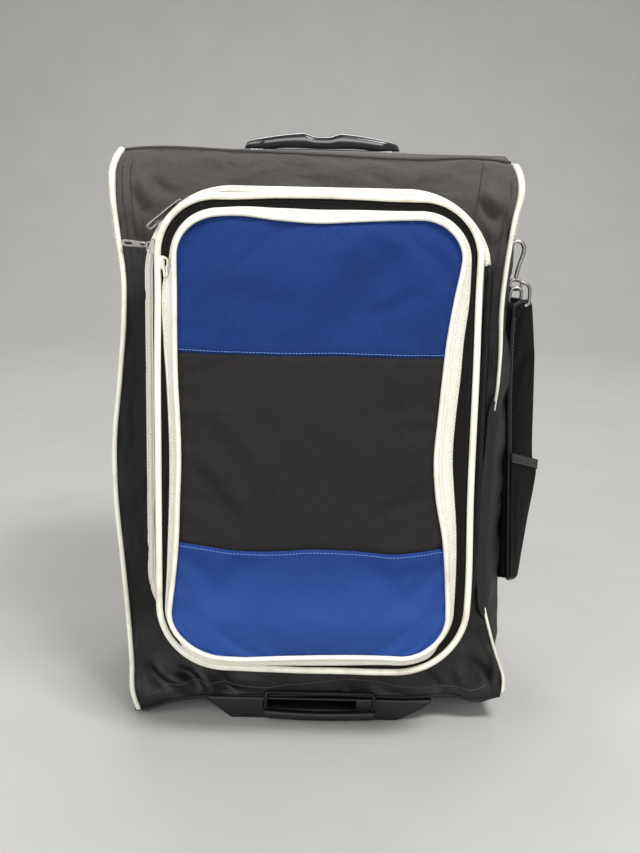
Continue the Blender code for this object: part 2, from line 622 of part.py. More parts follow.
def build_hook(ring):
    """A snap hook: a bent wire nose over the ring, a barrel with an eye below, and a sprung gate."""
    axis = axis_empty("hook_axis", (RING_X, SIDE_Y, RING_LOW_Z), ring)
    bend, reach = 0.0060, 0.0205
    nose = arc((0.0, 0.0), bend, 200, 0, 10) + [(bend, -0.008), (bend * 0.6, -reach)]
    path = [(x, 0.0, z - 0.0015) for x, z in nose]
    body = wire("snap_hook_body", path, 0.0017, NICKEL, axis, at=(RING_X, SIDE_Y, RING_LOW_Z))
    barrel_top = RING_LOW_Z - reach
    barrel = rod("cut_hook_barrel", (RING_X, SIDE_Y, barrel_top - 0.0045),
                 (RING_X, SIDE_Y, barrel_top + 0.0010), 0.0072, None)
    eye = block("cut_hook_eye_block", (RING_X - 0.0045, SIDE_Y - 0.0018, EYE_Z - 0.0045),
                (RING_X + 0.0045, SIDE_Y + 0.0018, barrel_top - 0.004), None, turn_z=POUCH_TURN)
    bore = wire("cut_hook_eye", [(0.0, -0.03, 0.0), (0.0, 0.03, 0.0)], 0.0028, None,
                at=(RING_X, SIDE_Y, EYE_Z), turn_z=POUCH_TURN)
    cut(body, barrel, "UNION")
    cut(body, eye, "UNION")
    cut(body, bore)
    gate_x = RING_X - bend + 0.0003
    pivot = (gate_x, SIDE_Y, barrel_top + 0.0035)
    gate_axis = axis_empty("gate_axis", pivot, axis)
    rod("snap_hook_gate", (gate_x, SIDE_Y, barrel_top + 0.0018), (gate_x, SIDE_Y, RING_LOW_Z - 0.0064),
        0.0014, NICKEL, gate_axis, sides=12)
    return axis


def build_pouch(hook):
    hang = (RING_X, SIDE_Y, EYE_Z)
    axis = axis_empty("pouch_axis", hang, hook)
    ring_low = -0.0170
    wire("pouch_ring", loop(0.026, ring_low, 0.0, 0.0050), 0.0014, NICKEL, axis, closed=True, at=hang,
         turn_z=POUCH_TURN)
    low_bar = Vector(hang) + Vector((0.0, 0.0, ring_low))
    tab = block("pouch_tab", low_bar + Vector((-0.0032, -0.0085, -0.0110)),
                low_bar + Vector((0.0032, 0.0085, 0.0040)), BLACK_BINDING, axis, turn_z=POUCH_TURN)
    bore = wire("cut_pouch_tab_bore", [(0.0, -0.03, 0.0), (0.0, 0.03, 0.0)], 0.0019, None, axis,
                at=low_bar, turn_z=POUCH_TURN)
    cut(tab, bore)
    top = low_bar.z - 0.0113
    block("pouch_back_panel", (RING_X - 0.0030, POUCH_Y[0], 0.116), (RING_X + 0.0030, POUCH_Y[1], top),
          BLACK_FABRIC, axis, rounding=0.0012)
    inner = RING_X + 0.0030 + GAP
    pocket = block("pouch_pocket", (inner, POUCH_Y[0], 0.118), (inner + 0.0245, POUCH_Y[1], 0.2480),
                   BLACK_FABRIC, axis)
    wall = 0.0025
    cut(pocket, block("cut_pouch_mouth", (inner - 0.01, POUCH_Y[0] + wall, 0.118 + wall),
                      (inner + 0.0245 - wall, POUCH_Y[1] - wall, 0.30), None, axis))
    bevel(pocket, 0.0008)


def main():
    build_body()
    build_lining()
    build_foot()
    for side, sign in (("left", -1), ("right", 1)):
        build_wheel(side, sign)
    build_handle()
    lid = build_lid()
    build_pocket(lid)
    build_main_sliders()
    build_pocket_slider(lid)
    build_pouch(build_hook(build_side_ring()))


main()
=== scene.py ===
"""Looks of the roller bowling bag: cloth, piping, zips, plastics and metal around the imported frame.

Shapes are given in the bag's own frame: x from the body's centre plane, d forward (negative) or
back (positive) from the body's front face, z up from the floor. place() turns that into the row frame.
"""
import math

import bmesh
import bpy
import numpy as np
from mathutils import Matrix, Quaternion, Vector, noise
from mathutils.bvhtree import BVHTree


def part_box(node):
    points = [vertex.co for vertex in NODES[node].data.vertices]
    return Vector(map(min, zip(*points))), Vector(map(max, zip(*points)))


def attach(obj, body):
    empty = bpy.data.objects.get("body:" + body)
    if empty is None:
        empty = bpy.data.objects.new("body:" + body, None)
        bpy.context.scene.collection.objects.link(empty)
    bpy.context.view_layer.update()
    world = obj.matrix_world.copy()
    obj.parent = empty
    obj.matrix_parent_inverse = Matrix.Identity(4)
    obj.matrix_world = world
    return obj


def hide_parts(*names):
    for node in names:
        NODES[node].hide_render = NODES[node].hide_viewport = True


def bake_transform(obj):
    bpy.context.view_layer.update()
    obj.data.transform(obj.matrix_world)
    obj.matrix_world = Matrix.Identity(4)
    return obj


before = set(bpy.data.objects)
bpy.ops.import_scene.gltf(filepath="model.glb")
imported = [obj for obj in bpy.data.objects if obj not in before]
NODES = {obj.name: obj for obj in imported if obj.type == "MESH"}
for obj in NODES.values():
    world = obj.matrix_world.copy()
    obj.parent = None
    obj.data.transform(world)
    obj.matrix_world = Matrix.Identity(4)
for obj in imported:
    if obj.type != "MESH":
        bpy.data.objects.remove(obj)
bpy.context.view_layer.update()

# ---- driving sizes, read from the frame ----
SHELL_LO, SHELL_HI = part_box("body_shell")
GUSSET_LO, GUSSET_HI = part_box("lid_gusset")
POCKET_LO, POCKET_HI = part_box("pocket_panel_middle")
POCKET_TOP_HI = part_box("pocket_panel_top")[1]
POCKET_BOTTOM_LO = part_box("pocket_panel_bottom")[0]

CENTRE_X = (SHELL_LO.x + SHELL_HI.x) / 2
FRONT_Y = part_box("front_surround")[0].y
ORIGIN = np.array([CENTRE_X, FRONT_Y, 0.0])     # where the bag's own frame starts
HALF_W = (SHELL_HI.x - SHELL_LO.x) / 2
BODY_LOW, BODY_HIGH = SHELL_LO.z, SHELL_HI.z
BODY_DEEP = SHELL_HI.y - FRONT_Y

LID_HALF = (GUSSET_HI.x - GUSSET_LO.x) / 2
LID_LOW, LID_HIGH = GUSSET_LO.z, GUSSET_HI.z
HINGE_LOW, HINGE_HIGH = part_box("lid_hinge_strip")[0].z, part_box("lid_hinge_strip")[1].z

POCKET_HALF = (POCKET_HI.x - POCKET_LO.x) / 2
POCKET_LOW, POCKET_HIGH = POCKET_BOTTOM_LO.z, POCKET_TOP_HI.z
POCKET_DEPTH = POCKET_HI.y - FRONT_Y            # back of the pocket's face
SEAM_LOW, SEAM_HIGH = POCKET_LO.z, POCKET_HI.z


def place(x, d, z):
    return (CENTRE_X + x, FRONT_Y + d, z)


# ---- curves through a few given points ----
def through(knots):
    """A smooth function through (position, value) knots, flat beyond its ends."""
    at, value = np.array(knots, float).T
    slope = np.gradient(value, at)

    def curve(t):
        t = np.clip(np.asarray(t, float), at[0], at[-1])
        i = np.clip(np.searchsorted(at, t) - 1, 0, len(at) - 2)
        h = at[i + 1] - at[i]
        u = (t - at[i]) / h
        return ((2 * u**3 - 3 * u**2 + 1) * value[i] + (u**3 - 2 * u**2 + u) * h * slope[i]
                + (3 * u**2 - 2 * u**3) * value[i + 1] + (u**3 - u**2) * h * slope[i + 1])

    return curve


def smooth(a, b, t):
    """0 below a, 1 above b, and smooth between them."""
    u = np.clip((np.asarray(t, float) - a) / (b - a), 0.0, 1.0)
    return u * u * (3 - 2 * u)


def hump(t, centre, width):
    return np.exp(-(((np.asarray(t, float) - centre) / width) ** 2))


def ripple(x, y, z, scale, seed=0.0):
    """Smooth noise, from -1 to 1, for arrays of points."""
    flat = np.stack([np.ravel(np.broadcast_to(v, np.shape(x + y + z))) for v in (x, y, z)], 1)
    values = [noise.noise(Vector((p[0] * scale + seed, p[1] * scale, p[2] * scale))) for p in flat]
    return np.array(values).reshape(np.shape(x + y + z))


# the body's front edges, where the white piping runs: x against height
LEFT_EDGE = through([
    (0.006, -0.1615), (0.02, -0.166), (0.056, -0.1675), (0.106, -0.1707), (0.155, -0.1747),
    (0.222, -0.1801), (0.269, -0.1803), (0.325, -0.1749), (0.379, -0.1705), (0.414, -0.17),
    (0.462, -0.1755), (0.496, -0.179), (0.512, -0.1785), (0.526, -0.1735)])
RIGHT_EDGE = through([
    (0.02, 0.1795), (0.033, 0.1812), (0.042, 0.1815), (0.074, 0.1715), (0.107, 0.162), (0.163, 0.1555),
    (0.22, 0.156), (0.286, 0.159), (0.355, 0.1615), (0.399, 0.1606), (0.443, 0.164), (0.476, 0.1684),
    (0.495, 0.1724), (0.506, 0.1724), (0.513, 0.1708), (0.518, 0.1688), (0.526, 0.1665)])


# ---- mesh building ----
def mesh_object(name, verts, faces, material, smooth_shading=True):
    mesh = bpy.data.meshes.new(name)
    mesh.from_pydata([tuple(v) for v in verts], [], faces)
    mesh.validate()
    obj = bpy.data.objects.new(name, mesh)
    bpy.context.scene.collection.objects.link(obj)
    mesh.materials.append(material)
    if smooth_shading:
        mesh.shade_smooth()
    return obj


def grid_faces(rows, columns, wrap_rows=False, wrap_columns=False, flip=False):
    faces = []
    for i in range(rows if wrap_rows else rows - 1):
        for j in range(columns if wrap_columns else columns - 1):
            a = i * columns + j
            b = i * columns + (j + 1) % columns
            c = ((i + 1) % rows) * columns + (j + 1) % columns
            e = ((i + 1) % rows) * columns + j
            faces.append((a, e, c, b) if flip else (a, b, c, e))
    return faces


def sheet_object(name, points, material, flip=False, thickness=0.0):
    """A sheet from a (rows, columns, 3) array in the bag's own frame, optionally made solid."""
    rows, columns = points.shape[:2]
    verts = points.reshape(-1, 3) + ORIGIN
    obj = mesh_object(name, verts, grid_faces(rows, columns, flip=flip), material)
    if thickness:
        thicken(obj, thickness)
    return obj


def thicken(obj, thickness):
    """Gives a sheet its thickness on its inner side."""
    mod = obj.modifiers.new("thickness", "SOLIDIFY")
    mod.thickness = thickness
    mod.offset = -1.0
    return apply_modifiers(obj)


def apply_modifiers(obj):
    bpy.context.view_layer.update()
    evaluated = obj.evaluated_get(bpy.context.evaluated_depsgraph_get())
    mesh = bpy.data.meshes.new_from_object(evaluated)
    obj.modifiers.clear()
    old = obj.data
    obj.data = mesh
    bpy.data.meshes.remove(old)
    return obj


class Rail:
    """A line of stations along a seam: places, directions along it, outward and forward."""

    def __init__(self, points, outward=None, forward=(0.0, -1.0, 0.0), closed=False):
        self.points = np.asarray(points, float)
        self.closed = closed
        if closed:
            ahead = np.roll(self.points, -1, 0) - np.roll(self.points, 1, 0)
        else:
            ahead = np.gradient(self.points, axis=0)
        self.along = ahead / np.linalg.norm(ahead, axis=1)[:, None]
        face = np.broadcast_to(np.asarray(forward, float), self.points.shape)
        self.out = np.cross(self.along, face) if outward is None else np.broadcast_to(
            np.asarray(outward, float), self.points.shape)
        self.out = self.out / np.linalg.norm(self.out, axis=1)[:, None]
        self.face = np.cross(self.out, self.along)
        self.face = self.face / np.linalg.norm(self.face, axis=1)[:, None]

    def resampled(self, pitch):
        """The same rail with evenly spaced stations about this far apart."""
        points = np.vstack([self.points, self.points[:1]]) if self.closed else self.points
        steps = np.linalg.norm(np.diff(points, axis=0), axis=1)
        run = np.concatenate([[0.0], np.cumsum(steps)])
        count = max(3, int(round(run[-1] / pitch)))
        at = np.linspace(0.0, run[-1], count + (0 if self.closed else 1), endpoint=not self.closed)
        lines = []
        for source in self.lines():
            source = np.vstack([source, source[:1]]) if self.closed else source
            lines.append(np.stack([np.interp(at, run, source[:, k]) for k in range(3)], 1))
        lines[1:] = [line / np.linalg.norm(line, axis=1)[:, None] for line in lines[1:]]
        return known_rail(self.closed, *lines)

    def shifted(self, out):
        """The same rail moved outwards; the amount may differ from station to station."""
        moved = self.points + self.out * np.broadcast_to(out, len(self.points))[:, None]
        return known_rail(self.closed, moved, self.along, self.out, self.face)

    def lines(self):
        return self.points, self.along, self.out, self.face


def known_rail(closed, points, along, out, face):
    """A rail whose directions are known already."""
    rail = Rail.__new__(Rail)
    rail.closed = closed
    rail.points, rail.along, rail.out, rail.face = points, along, out, face
    return rail


def sweep(name, rail, section, material):
    """Carries a section of (outward, forward) points along a rail; section may be one per station."""
    section = np.asarray(section, float)
    if section.ndim == 2:
        section = np.broadcast_to(section, (len(rail.points),) + section.shape)
    verts = (rail.points[:, None, :] + rail.out[:, None, :] * section[:, :, :1]
             + rail.face[:, None, :] * section[:, :, 1:])
    rows, columns = verts.shape[:2]
    faces = grid_faces(rows, columns, rail.closed, wrap_columns=True)
    if not rail.closed:
        faces.append(tuple(range(columns - 1, -1, -1)))
        faces.append(tuple((rows - 1) * columns + k for k in range(columns)))
    obj = mesh_object(name, verts.reshape(-1, 3) + ORIGIN, faces, material)
    fix_normals(obj)
    return obj


def fix_normals(obj):
    bm = bmesh.new()
    bm.from_mesh(obj.data)
    bmesh.ops.recalc_face_normals(bm, faces=bm.faces)
    bm.to_mesh(obj.data)
    bm.free()


def circle(radius, sides=12):
    angles = [2 * math.pi * k / sides for k in range(sides)]
    return [(radius * math.cos(a), radius * math.sin(a)) for a in angles]


BLOCK_TOP = 0.62                        # a tooth or a stitch narrows to this share at its top


def bricks(name, rail, length, width, height, material, out=0.0, zigzag=0.0):
    """Small rounded blocks along a rail, one a station: zip teeth or stitches."""
    ring = [(-1, -1), (1, -1), (1, 1), (-1, 1)]
    verts, faces = [], []
    for i in range(len(rail.points)):
        side = zigzag if i % 2 else -zigzag
        base = rail.points[i] + rail.out[i] * (out + side)
        start = len(verts)
        for level, grow in ((-0.5, 1.0), (0.15, 1.0), (0.5, BLOCK_TOP)):
            for a, b in ring:
                verts.append(base + rail.along[i] * (a * grow * length / 2)
                             + rail.out[i] * (b * grow * width / 2) + rail.face[i] * (level * height))
        for row in (0, 4):
            for k in range(4):
                a, b = start + row + k, start + row + (k + 1) % 4
                faces.append((a, b, b + 4, a + 4))
        faces.append((start + 8, start + 9, start + 10, start + 11))
        faces.append((start + 3, start + 2, start + 1, start))
    verts = np.array(verts) + ORIGIN
    obj = mesh_object(name, verts, faces, material, smooth_shading=False)
    fix_normals(obj)
    return obj


def join(name, objects):
    """Joins pieces into the first one, which takes the name."""
    first = objects[0]
    with bpy.context.temp_override(active_object=first, selected_editable_objects=objects):
        bpy.ops.object.join()
    first.name = name
    return first


# ---- materials ----
class Shader:
    """A Principled material with helpers for the nodes that these materials share."""

    def __init__(self, name, color, roughness, metallic=0.0, coat=0.0):
        self.material = bpy.data.materials.new(name)
        self.material.use_nodes = True
        self.tree = self.material.node_tree
        self.bsdf = self.tree.nodes["Principled BSDF"]
        for key, value in (("Base Color", (*color, 1.0)), ("Roughness", roughness), ("Metallic", metallic),
                           ("Coat Weight", coat)):
            self.bsdf.inputs[key].default_value = value
        self.coord = self.node("TexCoord").outputs["Object"]
        self.normal = None

    def link(self, a, b):
        self.tree.links.new(a, b)

    def node(self, kind, *inputs, **settings):
        """A new node with its settings, and its inputs either set to values or linked to outputs."""
        node = self.tree.nodes.new("ShaderNode" + kind)
        for key, value in settings.items():
            setattr(node, key, value)
        for key, value in inputs:
            if isinstance(value, bpy.types.NodeSocket):
                self.link(value, node.inputs[key])
            else:
                node.inputs[key].default_value = value
        return node

    def up(self):
        return self.node("SeparateXYZ", (0, self.coord)).outputs["Z"]

    def noise(self, scale, detail=3.0, stretch=(1.0, 1.0, 1.0)):
        vector = self.node("Mapping", ("Scale", stretch), ("Vector", self.coord)).outputs["Vector"]
        return self.node("TexNoise", ("Scale", scale), ("Detail", detail), ("Vector", vector)).outputs["Fac"]

    def spread(self, value, low, high, to_low=0.0, to_high=1.0):
        return self.node("MapRange", ("From Min", low), ("From Max", high), ("To Min", to_low),
                         ("To Max", to_high), ("Value", value)).outputs["Result"]

    def color_mix(self, factor, first, second):
        """Base colour between two colours, each a value or another node's output."""
        node = self.node("Mix", (0, factor), (6, first), (7, second), data_type="RGBA")
        self.link(node.outputs[2], self.bsdf.inputs["Base Color"])
        return node.outputs[2]

    def tint(self, factor, color_a, color_b):
        return self.color_mix(factor, (*color_a, 1.0), (*color_b, 1.0))

    def paint_light_by_height(self, base, color, low, high):
        """Painted light and shade: the colour goes from its own tone to a paler one between two heights, in
        speckled patches.
        """
        patches = self.spread(self.noise(900.0, 3.0), 0.25, 0.75, 0.5, 1.0)
        share = self.node("Math", (0, self.spread(self.up(), low, high)), (1, patches), operation="MULTIPLY")
        self.color_mix(share.outputs[0], base, (*color, 1.0))

    def add_height(self, value, strength, distance):
        bump = self.node("Bump", ("Strength", strength), ("Distance", distance), ("Height", value))
        if self.normal is not None:
            self.link(self.normal, bump.inputs["Normal"])
        self.normal = bump.outputs["Normal"]
        self.link(self.normal, self.bsdf.inputs["Normal"])

    def weave(self, pitch, strength):
        """Fine threads running both ways over the cloth."""
        for direction in ("X", "Z"):
            wave = self.node("TexWave", ("Scale", 1.0 / pitch / 2), ("Distortion", 0.6),
                             ("Vector", self.coord), bands_direction=direction)
            self.add_height(wave.outputs["Fac"], strength, 0.0002)


def cloth(name, dark, light, pitch=0.001, weave=0.35, mottled=0.7, rough=0.85, painted_light=None, glossy_low=None,
          shine=0.3):
    """Woven cloth: fine heather, a slow drift of tone, threads both ways and, on request, painted light that
    pales one end.
    """
    s = Shader(name, dark, rough)
    s.bsdf.inputs["Specular IOR Level"].default_value = shine
    fine = s.spread(s.noise(1000.0, 2.0), 0.5 - 0.36 / (1 + mottled), 0.5 + 0.36 / (1 + mottled))
    slow = s.spread(s.noise(14.0, 3.0), 0.3, 0.7)
    mix = s.node("Mix", (0, 0.25), (2, fine), (3, slow)).outputs[0]
    tint = s.tint(mix, dark, light)
    # painted light and shade: a paler tone from one height to another
    if painted_light:
        s.paint_light_by_height(tint, *painted_light)
    if glossy_low:
        s.link(s.spread(s.up(), *glossy_low, 0.4, rough), s.bsdf.inputs["Roughness"])
    s.weave(pitch, weave)
    s.add_height(s.noise(1100.0, 2.0), 0.25, 0.0003)
    return s.material


def vinyl(name, clean, soiled, rough=0.42):
    s = Shader(name, clean, rough, coat=0.08)
    s.tint(s.spread(s.noise(45.0, 5.0), 0.52, 0.72), clean, soiled)
    s.add_height(s.noise(420.0, 2.0), 0.12, 0.0003)
    return s.material


def plastic(name, color, rough, grain=0.2, coat=0.0):
    s = Shader(name, color, rough, coat=coat)
    s.link(s.spread(s.noise(60.0, 4.0), 0.3, 0.7, rough * 0.8, min(1.0, rough * 1.2)),
           s.bsdf.inputs["Roughness"])
    s.add_height(s.noise(1500.0, 2.0), grain, 0.0002)
    return s.material


def metal(name, color, rough, stretch=(1.0, 1.0, 1.0)):
    s = Shader(name, color, rough, metallic=1.0)
    s.link(s.spread(s.noise(350.0, 4.0, stretch), 0.3, 0.7, rough * 0.7, rough * 1.5),
           s.bsdf.inputs["Roughness"])
    s.add_height(s.noise(700.0, 3.0, stretch), 0.08, 0.0002)
    return s.material


# painted light and shade: the body cloth stays dark below 0.4 m and pales above it, as if lit from above
BODY_CLOTH = cloth("body_cloth", (0.003, 0.0028, 0.0027), (0.0075, 0.007, 0.0066),
                   painted_light=((0.084, 0.075, 0.069), 0.4, 0.5), glossy_low=(0.045, 0.11), shine=0.5)
SIDE_CLOTH = cloth("side_cloth", (0.0036, 0.0036, 0.0037), (0.01, 0.0098, 0.0096), rough=0.6, shine=0.45)
RING_CLOTH = cloth("ring_cloth", (0.0026, 0.0024, 0.0022), (0.007, 0.0064, 0.0058), shine=0.2)
POUCH_CLOTH = cloth("pouch_cloth", (0.0012, 0.0012, 0.0012), (0.0028, 0.0028, 0.0028), rough=0.8, shine=0.1)
PANEL_BLACK = cloth("panel_black", (0.008, 0.007, 0.0064), (0.019, 0.0168, 0.0155), weave=0.3)
# painted light: the blue pales below 0.215 m towards the bottom of the flap, as if lit where it faces up
PANEL_BLUE = cloth("panel_blue", (0.0022, 0.0175, 0.096), (0.006, 0.038, 0.19), weave=0.3, mottled=0.8,
                   painted_light=((0.024, 0.08, 0.33), 0.215, 0.12))
BINDING = cloth("black_binding_cloth", (0.003, 0.003, 0.003), (0.0065, 0.0065, 0.0065), rough=0.5)
CREAM = vinyl("cream_vinyl", (0.83, 0.81, 0.7), (0.66, 0.62, 0.52))
TAPE = cloth("white_tape", (0.76, 0.74, 0.66), (0.87, 0.85, 0.77), weave=0.3, rough=0.75)
TEETH = plastic("zip_teeth", (0.8, 0.78, 0.69), 0.4)
BLUE_THREAD = plastic("blue_thread", (0.14, 0.25, 0.6), 0.6)
GREY_THREAD = plastic("grey_thread", (0.1, 0.095, 0.09), 0.7)
BLACK_THREAD = plastic("black_thread", (0.006, 0.006, 0.006), 0.7)
CREAM_THREAD = plastic("cream_thread", (0.6, 0.58, 0.5), 0.7)
SATIN = plastic("satin_black_plastic", (0.0065, 0.0063, 0.006), 0.42, grain=0.35)
GLOSS = plastic("gloss_black_plastic", (0.014, 0.014, 0.015), 0.22, grain=0.03, coat=0.6)
BEZEL = plastic("grey_bezel_plastic", (0.125, 0.122, 0.118), 0.32, grain=0.1)
RUBBER = plastic("tyre_rubber", (0.016, 0.016, 0.017), 0.75, grain=0.5)
RIM = plastic("rim_plastic", (0.05, 0.05, 0.052), 0.4)
BOARD = plastic("board_sheet", (0.018, 0.018, 0.018), 0.6, grain=0.5)
FOAM = cloth("foam", (0.028, 0.028, 0.03), (0.05, 0.05, 0.053), weave=0.0, mottled=1.0, rough=0.95)
ALUMINIUM = metal("brushed_aluminium", (0.72, 0.73, 0.74), 0.3, (40.0, 40.0, 1.0))
NICKEL = metal("nickel", (0.62, 0.6, 0.56), 0.34)
WIRE = metal("dull_wire", (0.4, 0.385, 0.35), 0.36)
STEEL = metal("steel", (0.42, 0.42, 0.43), 0.35)


# ---- cloth ----
CLOTH_STIFF = 12.0
CLOTH_BEND = 0.5
CLOTH_MASS = 0.25
CLOTH_FRAMES = 18
CLOTH_QUALITY = 6                       # simulation steps to a frame


def settle(points, pinned, pressure, slack, cap, closed=False):
    """Puffs and wrinkles a sheet by cloth simulation with its pinned stations held, and returns it."""
    obj = sheet_object("cloth_trial", points, BODY_CLOTH)
    if closed:
        close_ring(obj, len(points))
    if pinned.any():
        group = obj.vertex_groups.new(name="pinned")
        group.add([int(i) for i in np.flatnonzero(pinned.ravel())], 1.0, "REPLACE")
    mod = obj.modifiers.new("cloth", "CLOTH")
    mod.settings.quality = CLOTH_QUALITY
    mod.settings.mass = CLOTH_MASS
    mod.settings.tension_stiffness = CLOTH_STIFF
    mod.settings.compression_stiffness = CLOTH_STIFF
    mod.settings.shear_stiffness = CLOTH_STIFF / 2
    mod.settings.bending_stiffness = CLOTH_BEND
    mod.settings.shrink_min = -slack
    mod.settings.use_pressure = True
    mod.settings.uniform_pressure_force = pressure
    mod.settings.effector_weights.gravity = 0.0
    mod.settings.vertex_group_mass = "pinned"
    mod.collision_settings.use_collision = False
    scene = bpy.context.scene
    for frame_number in range(1, CLOTH_FRAMES + 1):
        scene.frame_set(frame_number)
    evaluated = obj.evaluated_get(bpy.context.evaluated_depsgraph_get())
    settled = np.array([v.co for v in evaluated.data.vertices]) - ORIGIN
    move = settled.reshape(points.shape) - points
    far = np.linalg.norm(move, axis=2, keepdims=True)
    move = move * np.minimum(1.0, cap / np.maximum(far, 1e-9))
    bpy.data.objects.remove(obj, do_unlink=True)
    scene.frame_set(1)
    return points + move


def edges(shape, low=1, high=1, left=1, right=1):
    """Pins this many stations, one or more, along each edge of a sheet."""
    pinned = np.zeros(shape[:2], bool)
    pinned[:low, :] = True
    pinned[-high:, :] = True
    pinned[:, :left] = True
    pinned[:, -right:] = True
    return pinned


def close_ring(obj, rows):
    """Joins the first and last columns of a ring-shaped sheet."""
    count = len(obj.data.vertices) // rows
    bm = bmesh.new()
    bm.from_mesh(obj.data)
    bm.verts.ensure_lookup_table()
    for i in range(rows - 1):
        a, b = i * count + count - 1, i * count
        c, e = (i + 1) * count, (i + 1) * count + count - 1
        bm.faces.new((bm.verts[a], bm.verts[b], bm.verts[c], bm.verts[e]))
    bmesh.ops.recalc_face_normals(bm, faces=bm.faces)
    if sum(f.normal.y for f in bm.faces) > 0:
        bmesh.ops.reverse_faces(bm, faces=bm.faces)
    bm.to_mesh(obj.data)
    bm.free()
    obj.data.shade_smooth()


def own(piece, body_name, slot, *nodes):
    """Rides a piece on its body and hides the CAD nodes it stands for; slot is not used."""
    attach(piece, body_name)
    if nodes:
        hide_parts(*nodes)
    return piece


def stitch_row(name, rail, pitch, size, thread, body_name="body", slot="black_binding"):
    """Stitches along a rail, one every pitch, each with this length, width and height."""
    return own(bricks(name, rail.resampled(pitch), *size, thread), body_name, slot)


# ---- outlines ----
def outline(left, right, low, high, low_radius, high_radius):
    """Stations round a rounded rectangle, the same number for any size, so that two of them match."""
    points = []

    def run(a, b, count):
        for k in range(count):
            points.append((a[0] + (b[0] - a[0]) * k / count, 0.0, a[1] + (b[1] - a[1]) * k / count))

    def turn(x, z, radius, start, count=34):
        for k in range(count):
            angle = math.radians(start + 90 * k / count)
            points.append((x + radius * math.cos(angle), 0.0, z + radius * math.sin(angle)))

    mid = (left + right) / 2
    run((mid, low), (right - low_radius, low), 26)
    turn(right - low_radius, low + low_radius, low_radius, -90)
    run((right, low + low_radius), (right, high - high_radius), 96)
    turn(right - high_radius, high - high_radius, high_radius, 0)
    run((right - high_radius, high), (left + high_radius, high), 52)
    turn(left + high_radius, high - high_radius, high_radius, 90)
    run((left, high - high_radius), (left, low + low_radius), 96)
    turn(left + low_radius, low + low_radius, low_radius, 180)
    run((left + low_radius, low), (mid, low), 26)
    return np.array(points)


def at_depth(points, depth):
    lifted = np.array(points, float)
    lifted[:, 1] = depth
    return lifted


def loft(name, rings, material, closed=True):
    """Skins matching lines of stations, the corners of a section; an open one ends in caps."""
    points = np.stack(rings, 1)
    rows, columns = points.shape[:2]
    faces = grid_faces(rows, columns, wrap_rows=closed, wrap_columns=True)
    if not closed:
        faces.append(tuple(range(columns)))
        faces.append(tuple((rows - 1) * columns + k for k in range(columns)))
    obj = mesh_object(name, points.reshape(-1, 3) + ORIGIN, faces, material)
    fix_normals(obj)
    return obj


def between(a, b, share):
    return a + (b - a) * share


def ring_rail(points):
    return Rail(points, closed=True)


def inward(points, amount):
    """The same outline moved inwards; the amount may differ from station to station."""
    return ring_rail(points).shifted(-np.asarray(amount)).points


# the lid narrows from its zip on the body to its own front edge
BASE_GROW = 0.008                       # zip side of the lid, beyond the CAD's straight outline
BASE = outline(-LID_HALF - BASE_GROW, LID_HALF + BASE_GROW, LID_LOW + 0.002, LID_HIGH - 0.003, 0.068, 0.07)
FRONT_IN = 0.0036                       # how far in the lid's front edge stands on its sides
LID_FRONT = outline(-LID_HALF + FRONT_IN, LID_HALF - FRONT_IN + 0.0006, LID_LOW - 0.0008, LID_HIGH - 0.002,
                    0.06, 0.05)
LID_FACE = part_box("lid_front_ring")[0].y - FRONT_Y     # front of the black ring, negative
ZIP_WIDE = 0.0068


def lid_wave(points):
    """Small unevenness of the lid's sewn front edge."""
    x, z = points[:, 0], points[:, 2]
    out = 0.0024 * hump(z, 0.16, 0.06) * (x > 0.1) - 0.001 * hump(z, 0.42, 0.05) * (np.abs(x) > 0.1)
    rise = 0.0014 * hump(x, -0.005, 0.05) * (z > 0.45) - 0.0012 * hump(x, -0.08, 0.03) * (z > 0.45)
    drop = 0.0012 * hump(x, -0.075, 0.04) * (z < 0.12)
    moved = points.copy()
    moved[:, 0] += out * np.sign(x)
    moved[:, 2] += rise + drop + 0.0004 * ripple(x, z, x * 0, 30.0, 4.0)
    return moved


LID_EDGE = at_depth(lid_wave(LID_FRONT), LID_FACE)


def in_hinge(points, grow=0.0):
    return (points[:, 0] > 0.1) & (points[:, 2] > HINGE_LOW - grow) & (points[:, 2] < HINGE_HIGH + grow)


def open_run(rings, keep):
    """The stations of some closed rings for which keep is true, in order, as open lines."""
    start = int(np.flatnonzero(~keep)[0])
    order = (np.arange(len(keep)) + start) % len(keep)
    order = [i for i in order if keep[i]]
    return [ring[order] for ring in rings]


# ---- soft body ----
BOTTOM_EDGE = through([
    (-0.17, 0.0055), (-0.152, 0.0085), (-0.13, 0.0165), (-0.108, 0.0205), (-0.06, 0.0225), (0.01, 0.0255),
    (0.1, 0.025), (0.137, 0.0275), (0.16, 0.0225), (0.178, 0.028), (0.185, 0.029)])
TOP_EDGE = through([
    (-0.18, 0.524), (-0.165, 0.5262), (-0.07, 0.5262), (0.0, 0.5245), (0.085, 0.5222), (0.139, 0.5238),
    (0.155, 0.5225), (0.165, 0.5204), (0.173, 0.5176), (0.18, 0.5155)])
LINING = 0.0022                         # thickness of the body's cloth and its lining
FACE_TUCK = 0.004                       # the front starts this far under the lid's zip
WHEEL_LO, WHEEL_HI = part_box("wheel_housing_right")
WHEEL_IN = WHEEL_LO.x - CENTRE_X
WHEEL_D = WHEEL_LO.y - FRONT_Y
SIDE_FULL = {-1: -HALF_W - 0.001, 1: HALF_W + 0.0035}
SIDE_IN = 0.001                         # the sides' back edges stand this far in
SIDE_D = 0.022                          # the sides start no further back than this
WHEEL_ROOM = 0.001                      # the cloth is cut away this far round a wheel housing
NECK_HALF = 0.0965                      # the handle housing's hole in the top
NECK_FRONT, NECK_REAR = BODY_DEEP - 0.04, BODY_DEEP - 0.0105


def edge_x(side, z):
    return LEFT_EDGE(z) if side < 0 else RIGHT_EDGE(z)


def edge_roll(x):
    """Radius of the fold where the front goes over into the top, wider at the corners."""
    return 0.008 + 0.012 * np.clip(np.abs(x) / HALF_W, 0, 1.05) ** 6


